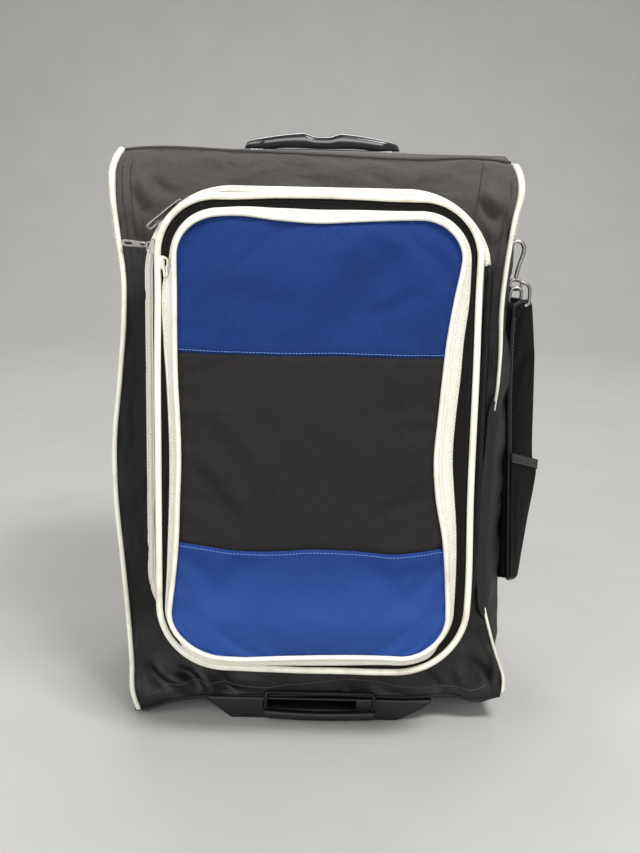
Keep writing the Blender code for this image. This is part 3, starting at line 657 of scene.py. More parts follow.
def roll_depth(x, z):
    radius = edge_roll(x)
    rise = np.clip(z - (TOP_EDGE(x) - radius), 0.0, radius)
    lean = 0.0035 * smooth(0.47, 0.525, z)
    return radius - np.sqrt(np.maximum(radius**2 - rise**2, 0.0)) + lean


LAP = 0.0058                            # how far the side panel laps over the right-hand piping
LAP_TUCK = 0.0095                       # and how far the piping is drawn back under it


def lapped(z):
    """1 at the heights where the side panel bulges over the right-hand piping and hides it."""
    return smooth(0.33, 0.296, z) * smooth(0.098, 0.116, z)


def tuck(z):
    return LAP_TUCK * lapped(z)


def front_face():
    """The front of the body from under the lid's zip out to the piping."""
    inner = inward(BASE, FACE_TUCK)
    x0, z0 = inner[:, 0], inner[:, 2]
    mid = (LID_LOW + LID_HIGH) / 2
    u, v = x0 / (LID_HALF + BASE_GROW - FACE_TUCK), (z0 - mid) / ((LID_HIGH - LID_LOW) / 2 - 0.0065)
    m = (np.abs(u) ** 8 + np.abs(v) ** 8) ** (1 / 8)
    u, v = np.clip(u / m, -1, 1), np.clip(v / m, -1, 1)
    m = np.maximum(np.abs(u), np.abs(v))
    u, v = u / m, v / m
    rough_x = u * HALF_W
    low, high = BOTTOM_EDGE(rough_x), TOP_EDGE(rough_x)
    z1 = low + (high - low) * (v + 1) / 2
    x1 = LEFT_EDGE(z1) + (RIGHT_EDGE(z1) - LEFT_EDGE(z1)) * (u + 1) / 2
    z1 = np.where(v < -0.999, BOTTOM_EDGE(x1), np.where(v > 0.999, TOP_EDGE(x1), z1))
    t = np.linspace(0, 1, 30)[:, None] ** 0.9
    x = x0 + (x1 - x0) * t
    z = z0 + (z1 - z0) * t
    under = lapped(z) * (x > 0.12)
    d = roll_depth(x, z) + LAP_TUCK * under * smooth(0.25, 1.0, t) - 0.003 * np.sin(np.pi * t) * (1 - under)
    d = d + front_creases(x, z) * smooth(0.15, 0.45, t) * smooth(1.0, 0.9, t) * (1 - under)
    pinned = (t < 0.3) | (under > 0.3)
    pinned[-1:] = True
    return settle(np.stack([x, d, z], 2), pinned, pressure=1.0, slack=0.01, cap=0.004, closed=True)


# folds of the front: both ends of each fold, its half width and its depth (negative stands forward)
FOLDS = (
    ((-0.164, 0.494), (-0.146, 0.47), 0.0042, 0.0052), ((-0.158, 0.503), (-0.136, 0.477), 0.0052, -0.0036),
    ((-0.146, 0.502), (-0.124, 0.487), 0.0048, 0.0036), ((-0.16, 0.478), (-0.15, 0.452), 0.004, -0.003),
    ((-0.15, 0.466), (-0.146, 0.44), 0.0034, 0.003), ((0.139, 0.49), (0.154, 0.47), 0.0046, 0.005),
    ((0.143, 0.5), (0.16, 0.484), 0.007, -0.0045), ((0.14, 0.478), (0.15, 0.456), 0.005, -0.0036),
    ((0.162, 0.48), (0.156, 0.44), 0.0044, 0.0032), ((-0.158, 0.052), (-0.132, 0.026), 0.005, 0.005),
    ((-0.146, 0.056), (-0.116, 0.03), 0.0052, -0.005), ((-0.122, 0.052), (-0.1, 0.024), 0.0045, 0.0048),
    ((-0.106, 0.05), (-0.086, 0.022), 0.0046, -0.0052), ((-0.088, 0.046), (-0.07, 0.024), 0.0042, 0.004),
    ((0.15, 0.07), (0.17, 0.036), 0.0055, 0.005), ((0.138, 0.06), (0.152, 0.03), 0.005, -0.004),
    ((0.168, 0.078), (0.176, 0.04), 0.0042, -0.0036), ((0.108, 0.05), (0.126, 0.03), 0.005, 0.003))


def fold_depth(x, z, folds):
    depth = 0.0
    for (ax, az), (bx, bz), wide, amount in folds:
        run = math.hypot(bx - ax, bz - az)
        ux, uz = (bx - ax) / run, (bz - az) / run
        along = (x - ax) * ux + (z - az) * uz
        aside = (z - az) * ux - (x - ax) * uz + 0.0016 * np.sin(along * 160.0 + ax * 90.0)
        ends = smooth(-0.006, run * 0.35, along) * smooth(run + 0.006, run * 0.65, along)
        depth = depth + amount * np.exp(-((aside / wide) ** 2)) * ends
    return depth


def front_creases(x, z):
    """Folds of the front: soft lobes at the top corners, a hollow beside the lid, a crumpled foot."""
    folds = 1.35 * fold_depth(x, z, FOLDS)
    hollow = 0.0045 * hump(x, -0.163, 0.008) * smooth(0.44, 0.36, z) * smooth(0.05, 0.12, z)
    low = smooth(0.078, 0.035, z)
    folds = folds + hollow + 0.0026 * low * ripple(x, z * 1.3, z * 0 + 0.1, 34.0, 3.0)
    return folds + 0.0012 * ripple(x, z, z * 0, 24.0, 1.0)


def side_panel(side):
    """One side of the body, from the front piping to the back piping, bulging between them."""
    low, high = float(BOTTOM_EDGE(side * HALF_W)), float(TOP_EDGE(side * HALF_W))
    share = np.linspace(0.0, 1.0, 96)
    wheel = (WHEEL_HI.z + WHEEL_ROOM - BODY_LOW) / (BODY_HIGH - BODY_LOW)
    share[np.argmin(np.abs(share - wheel))] = wheel
    z_front = low + (high - low) * share
    across = np.unique(np.concatenate([[0.004, 0.009, 0.014, 0.019, 0.03, 0.038, 0.055, 0.062],
                                       np.linspace(0.0, 1.0, 44), [(WHEEL_D - WHEEL_ROOM) / BODY_DEEP]]))
    start = roll_depth(edge_x(side, z_front), z_front) + (tuck(z_front) if side > 0 else 0.0)
    start = np.minimum(start, SIDE_D)
    d = start[:, None] + (BODY_DEEP - start[:, None]) * across[None, :]
    ease = smooth(0.0, 0.55, across)[None, :]
    z_back = BODY_LOW + (BODY_HIGH - BODY_LOW) * share
    z = z_front[:, None] * (1 - ease) + z_back[:, None] * ease
    rise = (1 - (1 - np.clip(across / 0.32, 0, 1)) ** 2.2)[None, :]
    fall = smooth(1.0, 0.7, across)[None, :]
    tall = smooth(0.505, 0.42, z) * smooth(0.02, 0.06, z)
    full = SIDE_FULL[side] + side * 0.0062 * hump(z, 0.2, 0.15) * tall
    edge_back = side * (HALF_W - SIDE_IN)
    reach = np.where(tall > 0, edge_back + (full - edge_back) * tall, edge_back)
    x = edge_x(side, z) * (1 - rise) + (reach * fall + edge_back * (1 - fall)) * rise
    if side > 0:
        lip = lapped(z_front)[:, None] * smooth(0.0, 0.009, across)[None, :]
        x = x - LAP * lip * smooth(0.09, 0.014, across)[None, :]
        d = d - (LAP_TUCK + 0.0036) * lip * smooth(0.22, 0.036, across)[None, :]
    wrinkle = 0.0016 * ripple(d * 0.6, z, z * 0, 14.0, 5.0 + side) * rise * fall
    crumple = 0.003 * smooth(0.12, 0.04, z) * ripple(d, z, z * 0, 30.0, 2.0 * side)
    crumple = crumple * smooth(0.0, 0.1, across)[None, :] * smooth(WHEEL_D, WHEEL_D - 0.03, d)
    points = np.stack([x + side * (wrinkle + crumple), d, z], 2)
    pinned = edges(points.shape, 2, 2, 10, 2)
    pinned |= (d > WHEEL_D - 0.004) & (z < WHEEL_HI.z + 0.004)
    pressure = 0.8 if side > 0 else -0.8
    return settle(points, pinned, pressure=pressure, slack=0.012, cap=0.0025)


def flat_panel(height):
    """The top (1) or the bottom (-1) of the body, between the front fold and the back."""
    z_edge = BODY_HIGH if height > 0 else BODY_LOW
    xs = np.unique(np.concatenate([np.linspace(-1, 1, 76), [-WHEEL_IN / HALF_W, WHEEL_IN / HALF_W],
                                   [-NECK_HALF / HALF_W, NECK_HALF / HALF_W]]))
    steps = [(WHEEL_D - WHEEL_ROOM) / BODY_DEEP, NECK_FRONT / BODY_DEEP, NECK_REAR / BODY_DEEP]
    ds = np.unique(np.concatenate([np.linspace(0, 1, 46), steps]))
    share, across = np.meshgrid(xs, ds)
    start = edge_roll(share * HALF_W) + 0.0035 if height > 0 else 0.0
    d = start + (BODY_DEEP - start) * across
    ease = smooth(0.0, 0.5, across)
    left = LEFT_EDGE(z_edge) * (1 - ease) - (HALF_W - SIDE_IN) * ease
    right = RIGHT_EDGE(z_edge) * (1 - ease) + (HALF_W - SIDE_IN) * ease
    x = left + (right - left) * (share + 1) / 2
    front = TOP_EDGE(x) if height > 0 else BOTTOM_EDGE(x)
    z = front + (z_edge - front) * smooth(0.0, 0.1, d)
    crown = 0.0004 * np.sin(np.pi * (share + 1) / 2) * smooth(0.17, 0.1, d) * smooth(0.0, 0.05, across)
    z = z + (crown if height > 0 else -crown * 0.4)
    z = z + 0.0007 * ripple(x, d, x * 0, 20.0, 6.0) * smooth(0.0, 0.1, across) * smooth(0.9, 0.6, across)
    return np.stack([x, d, z], 2)


def without(obj, inside):
    """Removes the faces whose centre, in the bag's own frame, lies inside a region."""
    bm = bmesh.new()
    bm.from_mesh(obj.data)
    gone = []
    for face in bm.faces:
        c = face.calc_center_median()
        if inside(c.x - CENTRE_X, c.y - FRONT_Y, c.z):
            gone.append(face)
    bmesh.ops.delete(bm, geom=gone, context="FACES")
    bm.to_mesh(obj.data)
    bm.free()
    return obj


WELL_GAP = 0.003                        # the lining stands this far off the wheel housing
WELL_LINING = 0.0012
WELL_TUCK = 0.0006                      # its rear edge ends inside the back's cloth
WELL_REACH = 0.0008                     # its outer edge ends inside the side's bulging cloth


def at_wheel(x, d, z):
    return abs(x) > WHEEL_IN and d > WHEEL_D - WHEEL_ROOM and z < WHEEL_HI.z + WHEEL_ROOM


def at_neck(x, d, z):
    return abs(x) < NECK_HALF and NECK_FRONT < d < NECK_REAR


def body():
    face_points = front_face()
    face = sheet_object("front_face_cloth", face_points, BODY_CLOTH)
    close_ring(face, face_points.shape[0])
    own(thicken(face, LINING), "body", "black_fabric", "front_surround", "body_shell")
    for side, name in ((-1, "left"), (1, "right")):
        panel = sheet_object(f"side_cloth_{name}", side_panel(side), SIDE_CLOTH, flip=side < 0)
        own(thicken(without(panel, at_wheel), LINING), "body", "black_fabric")
    top = sheet_object("top_cloth", flat_panel(1), BODY_CLOTH, flip=True)
    own(thicken(without(top, at_neck), LINING), "body", "black_fabric")
    floor = sheet_object("bottom_cloth", flat_panel(-1), SIDE_CLOTH)
    own(thicken(without(floor, at_wheel), LINING), "body", "black_fabric")
    wheel_lining()
    back()


def wheel_lining():
    """The lining over each wheel housing, which closes the cloth's cut-out from the inside."""
    front, rear = WHEEL_D - WELL_GAP, BODY_DEEP - WELL_TUCK
    low, high = BODY_LOW + LINING, WHEEL_HI.z + WELL_GAP
    for side, name in ((-1, "left"), (1, "right")):
        near, far = side * (WHEEL_IN - WELL_GAP), side * (HALF_W + WELL_REACH)
        verts = [(near, front, low), (far, front, low), (far, front, high), (near, front, high),
                 (near, rear, low), (near, rear, high), (far, rear, high)]
        faces = [(0, 1, 2, 3), (4, 0, 3, 5), (3, 2, 6, 5)]
        verts = np.array(verts) + ORIGIN
        lining = mesh_object(f"wheel_lining_{name}", verts, faces, SIDE_CLOTH, smooth_shading=False)
        own(thicken(lining, side * WELL_LINING), "body", "black_fabric")


def back():
    """The firm back: a slightly bowed panel with a stitched border."""
    xs = np.unique(np.concatenate([np.linspace(-1, 1, 60), [-WHEEL_IN / HALF_W, WHEEL_IN / HALF_W]]))
    zs = np.unique(np.concatenate([np.linspace(BODY_LOW, BODY_HIGH, 90), [WHEEL_HI.z + WHEEL_ROOM]]))
    share, z = np.meshgrid(xs, zs)
    up = (z - BODY_LOW) / (BODY_HIGH - BODY_LOW)
    bow = 0.002 * np.sin(np.pi * (share + 1) / 2) * np.sin(np.pi * up)
    d = BODY_DEEP + bow + 0.0008 * ripple(share * 0.2, z, z * 0, 14.0, 4.0)
    points = np.stack([share * (HALF_W - SIDE_IN), d, z], 2)
    sheet = sheet_object("back_cloth", points, SIDE_CLOTH, flip=True)
    own(thicken(without(sheet, at_wheel), LINING), "body", "black_fabric")
    inset = 0.016
    border = outline(-HALF_W + inset, HALF_W - inset, WHEEL_HI.z + inset, BODY_HIGH - inset, 0.02, 0.02)
    seam = Rail(at_depth(border, BODY_DEEP + 0.0016), forward=(0, 1, 0), closed=True)
    stitch_row("back_stitching", seam, 0.0036, (0.0024, 0.0006, 0.0006), GREY_THREAD)


# ---- body piping ----
BODY_CORD = 0.0023
UPRIGHT = 150                           # stations of a cord up its front corner


def piping_path(side):
    """Up the front corner, over the fold, back along the top and down the back corner."""
    low = 0.0065 if side < 0 else 0.031
    top = float(TOP_EDGE(side * HALF_W))
    points = []
    for z in np.linspace(low, top - 0.0004, UPRIGHT):
        x = float(edge_x(side, z)) + side * 0.0012
        d = float(roll_depth(edge_x(side, z), z)) + (float(tuck(z)) if side > 0 else 0.0)
        points.append((x, min(d, 0.021) - 0.0012, z + 0.0006 * smooth(top - 0.02, top, z)))
    hem = points[-1]
    for k in range(1, 41):
        share = k / 40
        x = hem[0] + (side * HALF_W - hem[0]) * float(smooth(0.0, 0.5, share))
        points.append((x, hem[1] + (BODY_DEEP - 0.01 - hem[1]) * share,
                       hem[2] + (BODY_HIGH + 0.0002 - hem[2]) * share))
    for k in range(1, 9):
        angle = k / 8 * math.pi / 2
        points.append((side * HALF_W, BODY_DEEP - 0.01 + 0.0115 * math.sin(angle),
                       BODY_HIGH - 0.0098 + 0.01 * math.cos(angle)))
    for z in np.linspace(BODY_HIGH - 0.014, WHEEL_HI.z + 0.006, 80):
        points.append((side * HALF_W, BODY_DEEP + 0.0015, z))
    return np.array(points)


def body_piping():
    for side, name in ((-1, "left"), (1, "right")):
        rail = Rail(piping_path(side), outward=(side, 0.0, 0.0)).resampled(0.0025)
        z = rail.points[:, 2]
        front = rail.points[:, 1] < 0.024
        worn = 1.0 + 0.35 * smooth(0.47, 0.505, z) * front + 0.04 * ripple(z, z * 0, z * 0, 60.0, side * 3.0)
        worn = worn * (1.0 - (0.35 * smooth(0.42, 0.3, z) * front if side > 0 else 0.0))
        ring = np.array(circle(BODY_CORD))
        section = worn[:, None, None] * ring[None]
        own(sweep(f"body_piping_{name}", rail, section, CREAM), "body", "cream_piping",
            f"front_piping_{name}")
    flange()
    fringe()


def flange():
    """The cords' sewn seam allowance, a narrow dark ridge on the front beside each cord."""
    for side, name in ((-1, "left"), (1, "right")):
        points = piping_path(side)[:UPRIGHT - 4]
        line = points + np.array([-side * 0.0088, 0.0, 0.0])
        line[:, 1] -= 0.0016
        stitch_row(f"piping_stitching_{name}", Rail(line, outward=(side, 0.0, 0.0)), 0.0036,
                   (0.0024, 0.0005, 0.0008), BLACK_THREAD)


def fringe():
    """Frayed threads where the cord is worn at the top corners and low down."""
    state = np.random.RandomState(7)
    wide = 0.00022                      # half a thread's width at its root
    verts, faces = [], []
    for side, low, high, count in ((-1, 0.43, 0.524, 210), (1, 0.455, 0.52, 130), (-1, 0.01, 0.13, 90),
                                   (1, 0.032, 0.075, 40)):
        path = piping_path(side)[:UPRIGHT]
        inside = path[(path[:, 2] > low) & (path[:, 2] < high)]
        for _ in range(count):
            root = inside[state.randint(len(inside))] + np.array([side * BODY_CORD * 0.8, 0.0, 0.0])
            reach = state.uniform(0.0009, 0.003)
            tip = root + reach * np.array([side * state.uniform(0.5, 1.0), state.uniform(-0.5, 0.5),
                                           state.uniform(-0.8, 0.8)])
            base = len(verts)
            for offset in ((0, wide, 0), (0, -wide, wide), (0, -wide, -wide)):
                verts.append(root + np.array(offset))
            verts.append(tip)
            faces += [(base, base + 1, base + 3), (base + 1, base + 2, base + 3), (base + 2, base, base + 3),
                      (base + 2, base + 1, base)]
    obj = mesh_object("frayed_threads", np.array(verts) + ORIGIN, faces, CREAM, smooth_shading=False)
    own(obj, "body", "cream_piping")


def front_seams():
    """The upright seams at the top right and the top left, and the low seam across."""
    surface = bpy.data.objects["front_face_cloth"]
    upright = on_surface(surface, [(0.1335 + 0.0065 * k / 30, 0.468 + 0.052 * k / 30) for k in range(31)])
    xs = np.linspace(-0.155, 0.165, 110)
    low = on_surface(surface, [(x, float(BOTTOM_EDGE(x)) + 0.013 + 0.004 * math.sin(x * 40)) for x in xs])
    side_seam = on_surface(surface, [(float(LEFT_EDGE(z)) + 0.015, z) for z in np.linspace(0.44, 0.515, 40)])
    rows = [bricks("seam", Rail(line, outward=(1, 0, 0)).resampled(0.0034), 0.0023, 0.0006, 0.0006,
                   BLACK_THREAD) for line in (upright, side_seam)]
    rows.append(bricks("seam", Rail(low, outward=(0, 0, 1)).resampled(0.0036), 0.0024, 0.0006, 0.0006,
                       GREY_THREAD))
    own(join("front_stitching", rows), "body", "black_binding")


def on_surface(obj, places, lift=0.0003):
    """Drops (x, z) places onto a piece from in front, in the bag's own frame."""
    tree = BVHTree.FromObject(obj, bpy.context.evaluated_depsgraph_get())
    points = []
    for x, z in places:
        hit = tree.ray_cast(Vector(place(x, -0.3, z)), Vector((0, 1, 0)))[0]
        d = (hit.y - FRONT_Y if hit else 0.0) - lift
        points.append((x, d, z))
    return np.array(points)


# ---- lid ----
LID_PIPE = 0.0029


def lid():
    """The lid's sloping side, the black ring on its front and the white cord round its edge."""
    base = at_depth(BASE, 0.0014)
    outer = []
    for share in np.linspace(0.0, 1.0, 14):
        line = between(base, LID_EDGE, share)
        belly = 0.0016 * math.sin(math.pi * share)
        dent = 0.0012 * ripple(line[:, 0], line[:, 2], line[:, 1], 22.0, 9.0) * math.sin(math.pi * share)
        outer.append(ring_rail(line).shifted(belly + dent).points)
    inner = [ring_rail(line).shifted(-0.0026).points for line in reversed(outer)]
    own(loft("lid_side_cloth", outer + inner, SIDE_CLOTH), "lid", "black_fabric", "lid_gusset")
    ring = []
    for k in range(10):
        share = k / 9
        line = inward(LID_EDGE, 0.0008 + 0.03 * share)
        line[:, 1] = LID_FACE - 0.0012 * math.sin(math.pi * min(1.0, share * 1.6)) - 0.0004
        ring.append(line)
    ring += [line + np.array([0.0, 0.0022, 0.0]) for line in reversed(ring)]
    own(loft("lid_ring_cloth", ring, RING_CLOTH), "lid", "black_fabric", "lid_front_ring")
    cord = ring_rail(LID_EDGE + np.array([0.0, -0.0022, 0.0])).resampled(0.0025)
    own(sweep("lid_edge_piping", cord, circle(LID_PIPE), CREAM), "lid", "cream_piping", "lid_piping")
    hem = ring_rail(inward(LID_EDGE, 0.0052) + np.array([0.0, -0.0012, 0.0]))
    under = ring_rail(between(base, LID_EDGE, 0.9)).shifted(0.002)
    for name, rail in (("ring", hem), ("side", under)):
        stitch_row(f"lid_{name}_stitching", rail, 0.0034, (0.0023, 0.0005, 0.0005), BLACK_THREAD, "lid")


def base_line(out, depth):
    """The lid's outline on the body, moved outwards by out."""
    return at_depth(ring_rail(BASE).shifted(out).points, depth)


def base_band(name, section, keep, material):
    """Carries a section of (outward, depth) corners along the part of the lid's outline to keep."""
    rings = [base_line(out, depth) for out, depth in section]
    return loft(name, open_run(rings, keep), material, closed=False)


def main_zip():
    """Two tapes and the interlocked teeth between lid and body, open along the hinge."""
    closed = ~in_hinge(BASE)
    section = ((-0.0004, -0.0004), (0.0008, -0.003), (0.003, -0.0036), (0.005, -0.0034),
               (ZIP_WIDE, -0.0024), (ZIP_WIDE + 0.0002, -0.001), (0.004, -0.0006))
    own(base_band("main_zip_body_side", section, closed, TAPE), "body", "cream_piping", "main_zip_tape_body")
    section = [(out + 0.1 * depth, depth) for out, depth in
               ((0.0006, -0.0048), (0.0016, -0.0048), (0.0006, -0.011), (-0.0004, -0.011))]
    own(base_band("main_zip_lid_side", section, closed, TAPE), "lid", "cream_piping", "main_zip_tape_lid")
    full = Rail(open_run([base_line(0.0018, -0.0042)], closed)[0]).resampled(0.0016)
    teeth = bricks("main_zip_teeth", full, 0.0011, 0.003, 0.0013, TEETH, zigzag=0.0004)
    own(teeth, "body", "cream_piping")
    groove = Rail(open_run([base_line(0.0052, -0.0035)], closed)[0])
    stitch_row("main_zip_stitching", groove, 0.0032, (0.0021, 0.0005, 0.0005), CREAM_THREAD,
               slot="cream_piping")


def hinge_strip():
    """The smooth black binding that hinges the lid on its right, bending from body to lid."""
    keep = in_hinge(BASE, 0.0006)
    section = ((-0.0004, -0.0004), (0.001, -0.0034), (0.0036, -0.0044), (0.0062, -0.0036),
               (0.0072, -0.0014), (0.004, -0.0006))
    own(base_band("lid_hinge_binding", section, keep, BINDING), "body", "black_binding")
    section = ((-0.0004, -0.004), (0.0012, -0.0044), (-0.0004, -0.02), (-0.0016, -0.02))
    cover = base_band("lid_hinge_cloth", section, keep, BINDING)
    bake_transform(cover)
    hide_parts("lid_hinge_strip")


# ---- shoe pocket ----
PANEL_BOX = (-POCKET_HALF - 0.0008, POCKET_HALF + 0.0005, POCKET_LOW - 0.0022, POCKET_HIGH + 0.002)
PANEL_RADIUS = (0.04, 0.034)
POCKET_FACE = POCKET_DEPTH - 0.0036
PANEL_RIGHT = through([
    (0.09, 0.0), (0.13, 0.001), (0.165, -0.001), (0.205, -0.005), (0.24, -0.012), (0.275, -0.0152),
    (0.31, -0.0133), (0.344, -0.0112), (0.378, -0.0086), (0.411, -0.0042), (0.444, 0.0012), (0.48, 0.0012)])
PANEL_LEFT = through([
    (0.09, -0.005), (0.126, -0.006), (0.163, -0.002), (0.199, 0.001), (0.235, 0.0022), (0.27, 0.0034),
    (0.305, 0.0026), (0.339, 0.001), (0.373, 0.0004), (0.406, 0.0004), (0.45, 0.0), (0.48, 0.0)])
PANEL_TOP = through([
    (-0.12, -0.001), (-0.097, -0.001), (-0.0645, 0.0005), (-0.0324, -0.0027), (0.0, -0.0043),
    (0.03, -0.0026), (0.065, -0.0006), (0.0975, 0.0), (0.12, 0.0)])
PANEL_BOTTOM = through([
    (-0.12, 0.0), (-0.09, -0.0016), (-0.062, -0.003), (-0.027, -0.0012), (0.01, 0.0005), (0.06, 0.0012),
    (0.1, 0.0), (0.12, 0.0)])
# width of the white band outside the panel, against height on each side and against x above and below
BAND_LEFT = through([
    (0.09, 0.0058), (0.126, 0.005), (0.163, 0.007), (0.199, 0.0086), (0.235, 0.0086), (0.27, 0.0093),
    (0.305, 0.0093), (0.339, 0.0092), (0.373, 0.0108), (0.42, 0.0107), (0.438, 0.0058), (0.48, 0.0052)])
BAND_RIGHT = through([
    (0.09, 0.0056), (0.132, 0.0062), (0.169, 0.0088), (0.205, 0.0114), (0.24, 0.0163), (0.275, 0.0178),
    (0.31, 0.016), (0.344, 0.0157), (0.378, 0.014), (0.411, 0.0122), (0.444, 0.0068), (0.48, 0.0052)])
BAND_TOP = through([
    (-0.12, 0.0052), (-0.07, 0.005), (-0.045, 0.0068), (-0.03, 0.008), (0.0, 0.0088), (0.035, 0.0072),
    (0.06, 0.0056), (0.12, 0.0052)])
BAND_BOTTOM = through([
    (-0.12, 0.005), (-0.062, 0.0057), (-0.027, 0.0066), (0.01, 0.0075), (0.079, 0.006), (0.12, 0.0056)])
PANEL_PIPE = 0.0023
CHAIN_HALF = 0.0016


def panel_warp(x, z):
    """Draws the flap's straight outline into its sagging one."""
    left, right, low, high = PANEL_BOX
    u = (x - (left + right) / 2) / ((right - left) / 2)
    v = (z - (low + high) / 2) / ((high - low) / 2)
    u, v = np.clip(u, -1.2, 1.2), np.clip(v, -1.2, 1.2)
    shift = np.where(u > 0, PANEL_RIGHT(z), PANEL_LEFT(z)) * np.abs(u) ** 3
    rise = np.where(v > 0, PANEL_TOP(x), PANEL_BOTTOM(x)) * np.abs(v) ** 6
    return x + shift, z + rise


def panel_outline():
    left, right, low, high = PANEL_BOX
    points = outline(left, right, low, high, *PANEL_RADIUS)
    points[:, 0], points[:, 2] = panel_warp(points[:, 0], points[:, 2])
    points[:, 1] = POCKET_FACE
    return points


PANEL_EDGE = panel_outline()


def band_width(points):
    """How wide the white band shows outside the panel at each station."""
    x, z = points[:, 0], points[:, 2]
    _, right, low, high = PANEL_BOX
    upright = smooth(0.62, 0.98, np.abs(x) / right)
    side = np.where(x > 0, BAND_RIGHT(z), BAND_LEFT(z))
    level = np.where(z > (low + high) / 2, BAND_TOP(x), BAND_BOTTOM(x))
    return level * (1 - upright) + side * upright


PANEL_RING = ring_rail(PANEL_EDGE)
BAND = band_width(PANEL_EDGE)
CHAIN_OUT = np.maximum(BAND - CHAIN_HALF, 0.003)
CHAIN_DEPTH = LID_FACE - 0.0036


def chain_line(extra=0.0, depth=CHAIN_DEPTH):
    return at_depth(PANEL_RING.shifted(CHAIN_OUT + extra).points, depth)


def on_flap_hinge(points):
    """Where the flap is sewn to the lid on the left, without teeth."""
    return (points[:, 0] < -0.09) & (points[:, 2] > 0.3) & (points[:, 2] < 0.368)


def pocket_zip():
    """The flap's zip round the panel: its two tapes, the two rows of teeth and the stitching."""
    keep = ~on_flap_hinge(PANEL_EDGE)
    chain = chain_line()
    under = at_depth(PANEL_RING.shifted(0.0016).points, POCKET_FACE - 0.0006)
    rings = [under + np.array([0.0, 0.001, 0.0]), under, between(under, chain, 0.35),
             between(under, chain, 0.7), chain_line(-0.0012, CHAIN_DEPTH - 0.0002),
             chain_line(0.0, CHAIN_DEPTH + 0.0002), chain_line(0.0, CHAIN_DEPTH + 0.0012)]
    for ring, lift in ((rings[2], 0.0012), (rings[3], 0.0011)):
        ring[:, 1] -= lift * smooth(0.004, 0.01, BAND)
    rings.append(between(under, chain, 0.5) + np.array([0.0, 0.0014, 0.0]))
    own(loft("pocket_zip_flap_tape", rings, TAPE), "pocket_flap", "cream_piping", "pocket_zip_tape")
    low = smooth(0.11, 0.1, PANEL_EDGE[:, 2])
    wide = 0.0018 + 0.0045 * low
    rings = [chain_line(0.0, CHAIN_DEPTH + 0.0006), chain_line(wide, CHAIN_DEPTH + 0.001),
             chain_line(wide + 0.001, LID_FACE - 0.0016), chain_line(wide - 0.0004, LID_FACE - 0.0012),
             chain_line(0.0, CHAIN_DEPTH + 0.0018)]
    own(loft("pocket_zip_lid_tape", rings, TAPE), "lid", "cream_piping")
    run = Rail(open_run([chain], keep)[0]).resampled(0.00175)
    for owner, first in (("pocket_flap", 0), ("lid", 1)):
        half = known_rail(False, *(line[first::2] for line in run.lines()))
        teeth = bricks(f"pocket_zip_teeth_{owner}", half, 0.00125, 0.003, 0.0014, TEETH,
                       out=-0.0004 + 0.0008 * first)
        own(teeth, owner, "cream_piping")
    groove = between(under, chain, 0.42)
    groove[:, 1] -= 0.0012 * smooth(0.004, 0.01, BAND) + 0.0002
    stitch_row("pocket_zip_stitching", ring_rail(groove), 0.0032, (0.0021, 0.0005, 0.0005), CREAM_THREAD,
               "pocket_flap", "cream_piping")
    zip_end()


def zip_end():
    """The little loop of cord where the pocket's zip starts on the left."""
    at = np.array([-0.1266, CHAIN_DEPTH - 0.002, 0.4362])
    points = []
    for k in range(19):
        angle = math.radians(-60 + 300 * k / 18)
        points.append(at + np.array([0.0024 * math.cos(angle), 0.0, 0.0042 * math.sin(angle)]))
    points = [at + np.array([0.0018, 0.0, -0.011])] + points + [at + np.array([-0.0002, 0.0, -0.012])]
    rail = Rail(np.array(points)).resampled(0.0008)
    own(sweep("pocket_zip_end_loop", rail, circle(0.0009, 8), CREAM), "lid", "cream_piping")


# the flap's folds: start, end, half-width, and how far each stands out
PANEL_FOLDS = (
    ((0.09, 0.478), (-0.01, 0.356), 0.023, -0.0085), ((-0.082, 0.418), (-0.012, 0.4), 0.012, -0.0034),
    ((-0.098, 0.348), (-0.018, 0.23), 0.011, 0.0042), ((-0.116, 0.308), (-0.044, 0.214), 0.009, 0.0036),
    ((-0.036, 0.202), (-0.104, 0.124), 0.017, -0.0064), ((0.026, 0.204), (0.112, 0.126), 0.017, -0.0064),
    ((-0.05, 0.12), (0.056, 0.12), 0.028, 0.005))


def panel_dents(x, z):
    """Slow, slanting hollows and swells of the flap's padded cloth."""
    slow = ripple(x * 0.8 + z * 0.5, z - x * 0.4, x * 0, 15.0, 2.5)
    quick = ripple(x + z * 0.6, z * 0.7, x * 0, 38.0, 7.0)
    return 0.003 * slow + 0.0009 * quick + fold_depth(x, z, PANEL_FOLDS)


